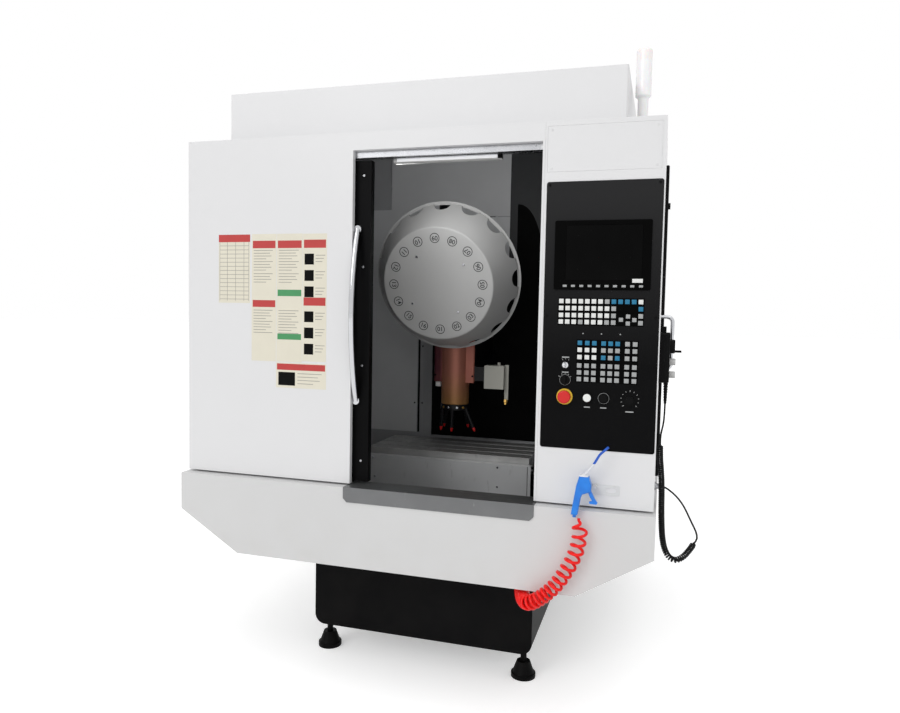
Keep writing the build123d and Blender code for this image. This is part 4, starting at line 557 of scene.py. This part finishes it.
# Light bar: a sealed lamp under the track. Its glowing strip is the lower edge of the bar, and
# an area lamp just below throws the same light into the work space.
grey_plastic = surface(
    "grey_plastic", tone(196, 196, 195), 0.44, vary=0.025, patch=7.0, grain=1100, relief=0.07,
    edge_wear_and_highlight=tone(214), edge_width=0.0015,
)
coat(grey_plastic, "grey_plastic")
glow = Finish(
    "lamp_diffuser", tone(236), 0.35, Emission_Color=tone(244, 246, 252), Emission_Strength=0.35,
)
clouds = glow.between(glow.noise(90.0), 0.3, 0.7)
glow.feed("Base Color", glow.blend(clouds, tone(226), tone(240)))
glow.relief(glow.noise(500.0, 2.0), 0.04)
lamp_low, lamp_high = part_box("work_light")
light_bar = Piece("light_bar_glow", "machine", "grey_plastic")
light_bar.box(
    (lamp_low.x + 0.012, lamp_low.y - 0.0016, 1.9535),
    (lamp_high.x - 0.014, lamp_low.y + 0.001, 1.984), glow, 0.001,
)
light_bar.box(
    (lamp_high.x - 0.013, lamp_low.y - 0.002, 1.9515),
    (lamp_high.x + 0.001, lamp_low.y + 0.020, 1.988), gap_dark, 0.001,
)
light_bar.done()
lamp_light = bpy.data.lights.new("lamp_light", "AREA")
lamp_light.shape = "RECTANGLE"
lamp_light.size, lamp_light.size_y = 0.40, 0.05
lamp_light.energy = 1.0
lamp = bpy.data.objects.new("lamp_light", lamp_light)
lamp.location = ((lamp_low.x + lamp_high.x) / 2, FRONT + 0.100, 1.925)
lamp.rotation_euler = Vector((-0.05, 0.98, -0.05)).to_track_quat("-Z", "Y").to_euler()
bpy.context.scene.collection.objects.link(lamp)

# Tool magazine: a moulded grey cover on a turning carrier. Sixteen ringed pocket numbers run
# round its face, read from the middle, inside the four screws that hold it.
magazine_grey = surface(
    "magazine_grey", tone(186, 186, 185), 0.50, vary=0.04, patch=4.0, grain=1100, relief=0.07,
    edge_wear_and_highlight=tone(222), edge_width=0.002,
)
coat(magazine_grey, nodes=("magazine_cover",))
ink = surface("ink", tone(46, 47, 48), 0.60, vary=0.10, patch=50.0, grain=1400, relief=0.03)
TILT = math.radians(15)
POCKETS, POCKET_RADIUS, COVER_SCREW_RADIUS = 16, 0.192, 0.142
across, upward = Vector((1, 0, 0)), Vector((0, -math.sin(TILT), math.cos(TILT)))
outward = Vector((0, -math.cos(TILT), -math.sin(TILT)))
dial = Matrix((across, upward, outward)).transposed().to_4x4()
dial.translation = Vector((-0.008, FRONT + 0.584, 1.567)) + outward * 0.150
numbers = Piece("magazine_numbers", "magazine", "grey_plastic")
number_ring = [(0.0175, 0), (0.0205, 0), (0.0205, 0.0003), (0.0175, 0.0003)]
for pocket in range(POCKETS):
    turn = Matrix.Rotation(math.radians(360 / POCKETS * pocket), 4, "Z")
    at = dial @ turn @ Matrix.Translation((0, -POCKET_RADIUS, 0))
    numbers.turned(at, number_ring, ink, True, 48)
    numbers.letters(at @ Matrix.Translation((0, 0, 0.0002)), "%02d" % (pocket + 1), 0.026, ink)
for quarter in range(4):
    turn = math.radians(35.5 + 90 * quarter)
    place = Vector((math.cos(turn), math.sin(turn), 0)) * COVER_SCREW_RADIUS
    screw_head(numbers, dial @ Matrix.Translation(place), 0.0055, machined)
numbers.done()

# Head: a casting in rose paint, black on its rear plate, over a turned spindle housing of the
# same tint that runs to gold at its nose. Motors and the plain castings behind are near black.
casting = surface(
    "casting_paint", tone(18, 18, 20), 0.50, vary=0.18, patch=4.0, grain=160, relief=0.22,
    edge_wear_and_highlight=tone(60), Specular_IOR_Level=0.15,
)
coat(casting, "casting")
motor = surface(
    "motor_paint", tone(26, 27, 29), 0.42, vary=0.12, patch=8.0, grain=500, relief=0.08,
    edge_wear_and_highlight=tone(70), Specular_IOR_Level=0.2,
)
coat(motor, "motor_paint")
head_paint = Finish("head_paint", tone(176, 104, 88), 0.46, 0.2, Specular_IOR_Level=0.3)
# Painted light and shade: the rose goes dark on the head's left side and light towards its right.
painted_side_shading = head_paint.between(head_paint.along("X"), -0.075, -0.045)
rose = head_paint.blend(painted_side_shading, tone(76, 28, 40), tone(186, 116, 100))
patches = head_paint.between(head_paint.noise(9.0, 4.0), 0.35, 0.7, 0.0, 0.3)
rose = head_paint.blend(patches, rose, tone(140, 80, 70))
rear = head_paint.between(head_paint.along("Y"), FRONT + 0.86, FRONT + 0.88)
flank = head_paint.between(head_paint.along("X"), 0.0858, 0.0866)
head_paint.feed("Base Color", head_paint.blend(rear | flank, rose, tone(12, 11, 12)))
head_paint.relief(head_paint.noise(380.0, 2.0), 0.07)
coat(head_paint, "head_casting")
housing = Finish("housing_steel", tone(176, 116, 98), 0.50, 0.35, Specular_IOR_Level=0.3)
gold = housing.between(housing.along("Z"), 1.15, 1.0)
tint = housing.blend(gold, tone(180, 116, 98), tone(164, 122, 70))
stains = housing.between(housing.noise(7.0, 4.0), 0.35, 0.7, 0.0, 0.3)
housing.feed("Base Color", housing.blend(stains, tint, tone(132, 84, 70)))
turned_marks = housing.noise(300.0, 2.0, (0.15, 0.15, 1.0))
housing.feed("Roughness", housing.between(turned_marks, 0.3, 0.7, 0.42, 0.56))
housing.relief(turned_marks, 0.05)
coat(housing, "housing_steel")

# Nozzles and head fittings: black jointed nozzles with red tips, bright pipe fittings under the
# housing, a white connector block, and a brass elbow under the light grey air unit.
black_plastic = surface(
    "black_plastic", tone(8, 8, 9), 0.48, vary=0.15, patch=20.0, grain=1600, relief=0.12,
    edge_wear_and_highlight=tone(34), edge_width=0.0006, Specular_IOR_Level=0.08,
)
coat(black_plastic, "black_plastic")
white_plastic = surface(
    "white_plastic", tone(232, 231, 229), 0.34, vary=0.015, patch=12.0, grain=1200, relief=0.04,
    Subsurface_Weight=0.05, Coat_Weight=0.2,
)
coat(white_plastic, "white_plastic")
red_plastic = surface(
    "red_plastic", tone(198, 8, 6), 0.32, vary=0.06, patch=24.0, grain=1200, relief=0.05,
    edge_wear_and_highlight=tone(220, 60, 50),
)
coat(red_plastic, "red_plastic")
brass = surface(
    "brass", tone(212, 170, 92), 0.28, metal=1.0, vary=0.10, patch=60.0, grain=900, relief=0.06,
)
nozzle_paint = Finish("nozzle_plastic", tone(20, 20, 22), 0.42, Specular_IOR_Level=0.25)
unit = nozzle_paint.between(nozzle_paint.along("X"), 0.138, 0.142)
nozzle_paint.feed("Base Color", nozzle_paint.blend(unit, tone(14, 14, 17), tone(184, 183, 174)))
nozzle_paint.relief(nozzle_paint.noise(900.0, 2.0), 0.08)
coat(nozzle_paint, nodes=("coolant_nozzles",))
SPINDLE = Vector((-0.008, FRONT + 0.738, 0))
STUB_RADIUS, STUB_HEIGHT = 0.0655, 0.988
NOZZLE_RADIUS, NOZZLE_DROP, TIP_HEIGHT = 0.060, 0.084, 0.898
stub = [
    (0, -0.004), (0.0062, -0.004), (0.0062, 0.001), (0.0042, 0.002), (0.0042, 0.004), (0, 0.004),
]
tip_outline = [
    (0, 0), (0.0066, 0), (0.0066, 0.003), (0.0036, 0.016), (0.0022, 0.016), (0.0022, 0.006),
    (0, 0.006),
]
elbow_outline = [(0, 0), (0.009, 0), (0.009, 0.012), (0.006, 0.014), (0.006, 0.022), (0, 0.022)]
fittings = Piece("head_fittings", "head", "machined_steel")


def pointing(place, toward):
    """A frame at a place whose Z points along a direction."""
    return Matrix.Translation(place) @ toward.to_track_quat("Z", "Y").to_matrix().to_4x4()


def sideways(degrees):
    """A level direction, counted from the operator's right."""
    turn = math.radians(degrees)
    return Vector((math.cos(turn), math.sin(turn), 0))


for around, look in ((-125, brass), (-102, machined), (-66, machined), (-40, brass)):
    out = sideways(around)
    place = SPINDLE + out * STUB_RADIUS + Vector((0, 0, STUB_HEIGHT))
    fittings.turned(pointing(place, out), stub, look, segments=6)
for around, reach in ((-142, 0.006), (-85, 0.012), (-21, 0.046), (60, 0.024), (140, 0.024)):
    out = sideways(around)
    down = (out * reach - Vector((0, 0, NOZZLE_DROP))).normalized()
    end = SPINDLE + out * (NOZZLE_RADIUS + reach) + Vector((0, 0, TIP_HEIGHT))
    fittings.turned(pointing(end, down), tip_outline, red_plastic, segments=20)
fittings.box((-0.099, -0.352, 1.076), (-0.075, -0.322, 1.100), white_plastic, 0.002)
elbow = Matrix.Translation((0.237, FRONT + 0.690, 1.036)) @ Matrix.Rotation(math.pi, 4, "X")
fittings.turned(elbow, elbow_outline, brass, segments=6)
for x, z in ((-0.095, 1.130), (0.079, 1.130), (-0.095, 1.410), (0.079, 1.410)):
    screw_head(fittings, facing(x, z, FRONT + 0.708), 0.0045, gap_dark)
fittings.done()

# Table and saddle: a ground cast-iron table with three slots, scuffed by chips, on a black
# saddle. A painted sheet covers the saddle's front, with its seam and a few screws.
table_iron = surface(
    "table_iron", tone(176, 176, 175), 0.38, metal=0.7, vary=0.14, patch=10.0, grain=180,
    relief=0.08, stretch=(0.10, 1.0, 1.0), scuffs=tone(112), edge_wear_and_highlight=tone(240), edge_width=0.004,
)
coat(table_iron, "table_iron")
grey_paint = surface(
    "grey_paint", tone(188, 189, 190), 0.38, metal=0.15, vary=0.08, patch=4.0, grain=500,
    relief=0.05, stretch=(1.0, 1.0, 0.2), scuffs=tone(150), edge_wear_and_highlight=tone(214),
)
coat(grey_paint, "grey_paint")
cover_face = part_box("saddle_cover")[0].y
cover = Piece("saddle_cover_trim", "saddle", "machined_steel")
for x, z in ((-0.310, 0.772), (0.250, 0.772), (-0.300, 0.690), (0.250, 0.690), (0.395, 0.772)):
    screw_head(cover, facing(x, z, cover_face), 0.0045, machined)
cover.box((0.3755, cover_face - 0.0012, 0.660), (0.3775, cover_face, 0.785), gap_dark)
cover.done()

# Console: a black textured panel with a dark screen, two pads of printed keys, a row of soft
# keys under the screen, switches, and the red stop on its yellow collar.
console_black = Finish("console_black", tone(8), 0.5, Specular_IOR_Level=0.06)
# Painted sheen: the panel is painted lighter towards its top.
painted_sheen = console_black.between(console_black.along("Z"), 1.25, 1.80)
panel_tone = console_black.blend(painted_sheen, tone(5, 5, 6), tone(40, 40, 41))
speckle = console_black.noise(1300.0, 2.0)
flecks = console_black.between(speckle, 0.62, 0.70, 0.0, 0.5)
console_black.feed("Base Color", console_black.blend(flecks, panel_tone, tone(46)))
console_black.feed("Roughness", console_black.between(speckle, 0.25, 0.75, 0.44, 0.56))
console_black.relief(speckle, 0.16)
coat(console_black, nodes=("control_panel",))
bezel_black = surface(
    "bezel_black", tone(4), 0.6, vary=0.3, patch=6.0, grain=1300, relief=0.12, edge_wear_and_highlight=tone(24),
    edge_width=0.0008, Specular_IOR_Level=0.03,
)
coat(bezel_black, nodes=("display_unit", "key_pads"))
screen = Finish(
    "screen_glass", tone(4), 0.25, Coat_Weight=0.01, Coat_Roughness=0.1, Specular_IOR_Level=0.04,
)
smudges = screen.between(screen.noise(6.0), 0.3, 0.7)
screen.feed("Base Color", screen.blend(smudges, tone(3), tone(7)))
screen.relief(screen.noise(40.0, 2.0), 0.006)
coat(screen, "screen_glass")


def key_paint(name, color, vary):
    return surface(name, color, 0.52, vary=vary, patch=60.0, grain=1600, relief=0.05)


key_white = key_paint("key_white", tone(222, 223, 221), 0.03)
key_teal = key_paint("key_teal", tone(10, 112, 150), 0.05)
key_grey = key_paint("key_grey", tone(158, 160, 160), 0.05)
yellow = surface(
    "yellow_plastic", tone(232, 190, 52), 0.40, vary=0.04, patch=40.0, grain=1200, relief=0.05,
)
caps = Piece("key_caps", "machine", "white_plastic")
key_looks = {"w": key_white, "t": key_teal, "g": key_grey}
upper_rows = {
    1.458: "wwwwwwwgttttw", 1.435: "wwwwwwwwg", 1.412: "wwwwwwwwg", 1.390: "wwwgwwwgg",
}
UPPER_LEFT, UPPER_PITCH = 0.566, 0.0213
lower_rows = {
    1.321: "ttttttgg", 1.298: "wwwggggg", 1.274: "wwwtgtgg", 1.246: "gggggggg", 1.223: "gggggggg",
    1.201: "gggggggg",
}
lower_columns = (0.631, 0.655, 0.678, 0.708, 0.7305, 0.753, 0.784, 0.808)
SOFT_KEYS, SOFT_MIDDLE, SOFT_PITCH = 10, 0.698, 0.0271
cap_face = FRONT - 0.0045


def cap(x, z, look, half=0.0074, behind=0.0):
    """One key's cap, half as wide as it is from its middle; behind sinks it in its pad."""
    low = (x - half, cap_face - 0.0008, z - half)
    caps.box(low, (x + half, cap_face + behind, z + half), look, 0.0007)


for z, row in upper_rows.items():
    for column, kind in enumerate(row):
        cap(UPPER_LEFT + UPPER_PITCH * column, z, key_looks[kind])
for x, z in ((0.7606, 1.3997), (0.7826, 1.4107), (0.7826, 1.388), (0.8029, 1.3997)):
    cap(x, z, key_grey, 0.0066, 0.003)
for z, kind in ((1.435, "t"), (1.412, "g"), (1.390, "g")):
    cap(0.8222, z, key_looks[kind])
for z, row in lower_rows.items():
    for x, kind in zip(lower_columns, row):
        cap(x, z, key_looks[kind])
for number in range(SOFT_KEYS):
    x = SOFT_MIDDLE + SOFT_PITCH * (number - (SOFT_KEYS - 1) / 2)
    low, high = (x - 0.0064, FRONT - 0.0095, 1.5044), (x + 0.0064, FRONT - 0.0087, 1.5116)
    caps.box(low, high, key_grey, 0.0006)
caps.box((0.792, FRONT - 0.0084, 1.5195), (0.825, FRONT - 0.0072, 1.5320), key_white, 0.0004)
caps.done()
marks = Piece("panel_marks", "machine", "white_plastic")
panel = FRONT - 0.0015
collar = [(0.0205, 0), (0.0268, 0), (0.0258, 0.0012), (0.0205, 0.0012)]
marks.turned(facing(0.585, 1.140, panel), collar, yellow, True)
for x, z, radius, count, start, sweep in (
    (0.797, 1.140, 0.0265, 11, 225, -270), (0.585, 1.196, 0.0200, 5, 150, -120),
    (0.585, 1.246, 0.0185, 3, 120, -60),
):
    for tick in range(count):
        turn = math.radians(start + sweep * tick / (count - 1))
        at = facing(x, z, panel) @ Matrix.Rotation(turn, 4, "Z")
        long = 0.005 if tick % 5 == 0 else 0.0032
        marks.box((radius, -0.0005, 0), (radius + long, 0.0005, 0.0002), key_white, 0, at)
switch_ring = [(0.0172, 0), (0.0183, 0), (0.0183, 0.0004), (0.0172, 0.0004)]
for x, z in ((0.585, 1.196), (0.713, 1.140)):
    marks.turned(facing(x, z, panel), switch_ring, key_grey, True)
for x, z, wide in (
    (0.660, 1.1085, 0.020), (0.713, 1.1085, 0.020), (0.797, 1.1000, 0.026), (0.585, 1.2715, 0.024),
    (0.585, 1.2215, 0.022),
):
    low, high = (x - wide / 2, panel - 0.0004, z - 0.002), (x + wide / 2, panel, z + 0.002)
    marks.box(low, high, key_grey, 0.0002)
for z in (1.839, 0.977, 1.408):
    for x in (0.518, 0.869):
        screw_head(marks, facing(x, z, panel), 0.0042, black_plastic)
lamp_outline = [(0, 0), (0.0022, 0), (0.0022, 0.0008), (0, 0.0014)]
for x in (0.640, 0.700, 0.760):
    marks.turned(facing(x, 1.352, panel), lamp_outline, key_grey, segments=14)
marks.done()

# Notice plates: bare cream plates on the left panel with red and green bars and thin ruled
# lines, and no words or signs.
PRINT, RULE = 0.0004, 0.00045


def label_paint(name, color, rough, vary, patch):
    return surface(name, color, rough, vary=vary, patch=patch, grain=1400, relief=0.03)


label_cream = label_paint("label_cream", tone(222, 217, 200), 0.48, 0.02, 14.0)
label_red = label_paint("label_red", tone(184, 52, 50), 0.48, 0.04, 20.0)
label_green = label_paint("label_green", tone(64, 142, 88), 0.48, 0.04, 20.0)
label_grey = label_paint("label_grey", tone(150, 146, 138), 0.50, 0.05, 40.0)
labels = Piece("blank_labels", "machine", "white_plastic")


def plate(x, z, look=label_cream, lift=0.0003):
    """A plate or a bar on it, between two places across and two heights."""
    labels.box((x[0], FRONT - lift, z[0]), (x[1], FRONT, z[1]), look)


def rules(x, top, count, gap, share=(0.92, 0.78, 0.85, 0.6)):
    """Thin ruled lines down from a height, whose lengths differ."""
    for line in range(count):
        end = x[0] + (x[1] - x[0]) * share[line % len(share)]
        z = top - gap * line
        plate((x[0], end), (z - 0.0011, z + 0.0011), label_grey, RULE)


plate((-0.749, -0.613), (1.434, 1.692))
plate((-0.749, -0.613), (1.664, 1.692), label_red, PRINT)
for row in range(14):
    z = 1.650 - 0.0155 * row
    plate((-0.743, -0.619), (z - 0.0008, z + 0.0008), label_grey, RULE)
for x in (-0.745, -0.712, -0.676, -0.640, -0.619):
    plate((x, x + 0.0015), (1.442, 1.664), label_grey, RULE)
top_bar = (1.640, 1.668, label_red)
green_bars = ((1.462, 1.486, label_green), (1.300, 1.322, label_green))
for low, high, bars in (
    (-0.605, -0.501, (top_bar, (1.420, 1.446, label_red))),
    (-0.499, -0.3925, (top_bar, *green_bars)),
):
    plate((low, high), (1.2165, 1.693))
    for bottom, top, look in bars:
        plate((low + 0.004, high - 0.004), (bottom, top), look, PRINT)
    for top, count in ((1.632, 8), (1.545, 4), (1.408, 9)):
        rules((low + 0.008, high - 0.008), top, count, 0.0105)
plate((-0.391, -0.2935), (1.221, 1.692))
for z in (1.640, 1.428):
    plate((-0.387, -0.2975), (z, z + 0.030), label_red, PRINT)
for row in range(3):
    for top in (1.625, 1.413):
        z = top - 0.060 * row
        plate((-0.384, -0.346), (z - 0.046, z - 0.006), gap_dark, PRINT)
        rules((-0.339, -0.300), z - 0.012, 3, 0.0115, (1.0, 0.85, 0.7))
plate((-0.500, -0.2925), (1.119, 1.2135))
plate((-0.496, -0.2965), (1.186, 1.2095), label_red, PRINT)
plate((-0.490, -0.420), (1.128, 1.178), gap_dark, PRINT)
rules((-0.410, -0.302), 1.174, 4, 0.0125)
labels.done(False)

# Door and front fixings: the sliding door's clear pane in its black stile, and the small screws
# of stile, track and console cover.
pane = Finish("clear_pane", tone(238, 242, 242), 0.06, Transmission_Weight=0.92, IOR=1.45)
pane.feed("Roughness", pane.between(pane.noise(14.0, 5.0), 0.4, 0.8, 0.03, 0.16))
pane.relief(pane.noise(30.0, 2.0), 0.01)
coat(pane, "clear_pane")
track_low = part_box("door_track")[0]
fixings = Piece("front_fixings", "machine", "machined_steel")
for x in (-0.80, -0.62, -0.44, -0.26, -0.08, 0.10, 0.29, 0.46):
    screw_head(fixings, facing(x, track_low.z + 0.016, track_low.y), 0.0045, machined)
for x, z in ((0.520, 1.895), (0.857, 1.895), (0.520, 2.020), (0.857, 2.020)):
    screw_head(fixings, facing(x, z), 0.0036, white)
fixings.done()
stile = Piece("stile_screws", "door", "machined_steel")
for z in (1.5721, 1.2121, 0.860, 1.900):
    screw_head(stile, facing(-0.161, z, FRONT + 0.025), 0.0045, machined)
stile.done()

# Cabinet door: a blank type plate, two quarter-turn latches at its free edge, and two banks of
# pressed louvres that let the warm air out. Latches and louvres are sunk half a millimetre.
DOOR_BACK = 1.0255
LOUVRES, LOUVRE_PITCH, LOUVRE_TILT = 9, 0.022, math.radians(-24)
type_plate = Piece("type_plate", "cabinet_door", "sheet_steel")
low, high = (0.300, DOOR_BACK - 0.0002, 1.70), (0.420, DOOR_BACK + 0.0008, 1.78)
type_plate.box(low, high, steel, 0.0003)
type_plate.done()
door_trim = Piece("cabinet_door_trim", "cabinet_door", "white_paint")
rearward = Matrix(((-1, 0, 0, 0), (0, 0, 1, DOOR_BACK - 0.0005), (0, 1, 0, 0), (0, 0, 0, 1)))
latch_outline = [(0, 0), (0.016, 0), (0.016, 0.003), (0.013, 0.005), (0, 0.005)]
for z in (0.95, 1.85):
    latch = rearward @ Matrix.Translation((-0.470, z, 0))
    door_trim.turned(latch, latch_outline, chrome, segments=32)
    # The latch's slot is a dark bar on its face, painted shade for the recess.
    door_trim.box((-0.0015, -0.009, 0.0045), (0.0015, 0.009, 0.0054), gap_dark, 0, latch)
for bottom in (0.76, 1.62):
    for row in range(LOUVRES):
        place = Matrix.Translation((0.24, bottom + LOUVRE_PITCH * row, 0))
        louvre = rearward @ place @ Matrix.Rotation(LOUVRE_TILT, 4, "X")
        door_trim.box((-0.09, -0.006, -0.001), (0.09, 0.006, 0.0016), white, 0.0008, louvre)
door_trim.done()

# Outside fittings: the blue blow gun, whose pale metal tube carries a blue tip, the panel's and
# pendant's moulded plastic, and the stack light's milky, ribbed lens.
blue_plastic = surface(
    "blue_plastic", tone(8, 118, 218), 0.34, vary=0.07, patch=22.0, grain=1200, relief=0.07,
    edge_wear_and_highlight=tone(72, 160, 236), edge_width=0.001, Coat_Weight=0.1,
)
coat(blue_plastic, "blue_plastic")
gun = Finish("gun_blue", tone(8, 118, 218), 0.34)
tube = gun.between(gun.along("Z"), 0.8895, 0.8905)
tip = gun.between(gun.along("Z"), 0.9315, 0.9325)
mottle = gun.between(gun.noise(24.0), 0.3, 0.7)
body_blue = gun.blend(mottle, tone(4, 106, 205), tone(22, 130, 228))
shaft = gun.blend(tube, body_blue, tone(226, 228, 232))
gun.feed("Base Color", gun.blend(tip, shaft, tone(8, 84, 190)))
gun.relief(gun.noise(1200.0, 2.0), 0.08)
coat(gun, nodes=("gun_body",))
beacon = Finish("beacon_lens", tone(249, 249, 250), 0.22, Subsurface_Weight=0.15, Coat_Weight=0.3)
pink = beacon.between(beacon.along("Z"), 2.318, 2.322)
beacon.feed("Base Color", beacon.blend(pink, tone(248, 248, 249), tone(250, 244, 243)))
ribs = beacon.along("Z") * 900.0
beacon.relief(ribs.sine(), 0.12, 0.0008)
coat(beacon, nodes=("stack_light",))

# Stage: a pale floor that keeps the object's shadow, a white surround for the camera, glass
# and metal, and plain soft light from the front left and above.
FLOOR_LIFT, SURROUND_LIGHT, SURROUND_SEEN = 0.38, 0.72, 1.0
floor_mesh = bmesh.new()
bmesh.ops.create_grid(floor_mesh, x_segments=1, y_segments=1, size=60)
floor_data = bpy.data.meshes.new("floor")
floor_mesh.to_mesh(floor_data)
floor_mesh.free()
floor = bpy.data.objects.new("floor", floor_data)
bpy.context.scene.collection.objects.link(floor)
floor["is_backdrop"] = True


def seen_directly(tree):
    """One for camera, mirror and glass rays, nought for the light that falls on the object."""
    path = tree.nodes.new("ShaderNodeLightPath")
    total = path.outputs["Is Camera Ray"]
    for name in ("Is Glossy Ray", "Is Transmission Ray"):
        most = tree.nodes.new("ShaderNodeMath")
        most.operation = "MAXIMUM"
        tree.links.new(total, most.inputs[0])
        tree.links.new(path.outputs[name], most.inputs[1])
        total = most.outputs["Value"]
    return total


floor_look = bpy.data.materials.new("floor")
floor_look.use_nodes = True
tree = floor_look.node_tree
shader = tree.nodes["Principled BSDF"]
shader.inputs["Base Color"].default_value = (0.90, 0.90, 0.90, 1)
shader.inputs["Roughness"].default_value = 0.9
shader.inputs["Specular IOR Level"].default_value = 0.1
shader.inputs["Emission Color"].default_value = (1, 1, 1, 1)
lift = tree.nodes.new("ShaderNodeMath")
lift.operation = "MULTIPLY"
lift.inputs[1].default_value = FLOOR_LIFT
tree.links.new(seen_directly(tree), lift.inputs[0])
tree.links.new(lift.outputs["Value"], shader.inputs["Emission Strength"])
floor_data.materials.append(floor_look)

world = bpy.data.worlds.new("surround")
bpy.context.scene.world = world
world.use_nodes = True
tree = world.node_tree
plain = tree.nodes["Background"]
plain.inputs["Color"].default_value = (1, 1, 1, 1)
plain.inputs["Strength"].default_value = SURROUND_LIGHT
shown = tree.nodes.new("ShaderNodeBackground")
shown.inputs["Color"].default_value = (1, 1, 1, 1)
shown.inputs["Strength"].default_value = SURROUND_SEEN
choice = tree.nodes.new("ShaderNodeMixShader")
tree.links.new(seen_directly(tree), choice.inputs["Fac"])
tree.links.new(plain.outputs["Background"], choice.inputs[1])
tree.links.new(shown.outputs["Background"], choice.inputs[2])
tree.links.new(choice.outputs["Shader"], tree.nodes["World Output"].inputs["Surface"])


def sun(name, toward, strength, spread):
    """A distant light along a direction, spread over this many degrees."""
    lamp = bpy.data.objects.new(name, bpy.data.lights.new(name, "SUN"))
    lamp.data.energy = strength
    lamp.data.angle = math.radians(spread)
    lamp.rotation_euler = Vector(toward).to_track_quat("-Z", "Y").to_euler()
    bpy.context.scene.collection.objects.link(lamp)


sun("key_light", (0.40, 0.86, -0.50), 0.75, 30)
sun("top_light", (-0.25, 0.35, -0.90), 0.45, 40)

bpy.context.scene.view_settings.view_transform = "Standard"
low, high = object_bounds()
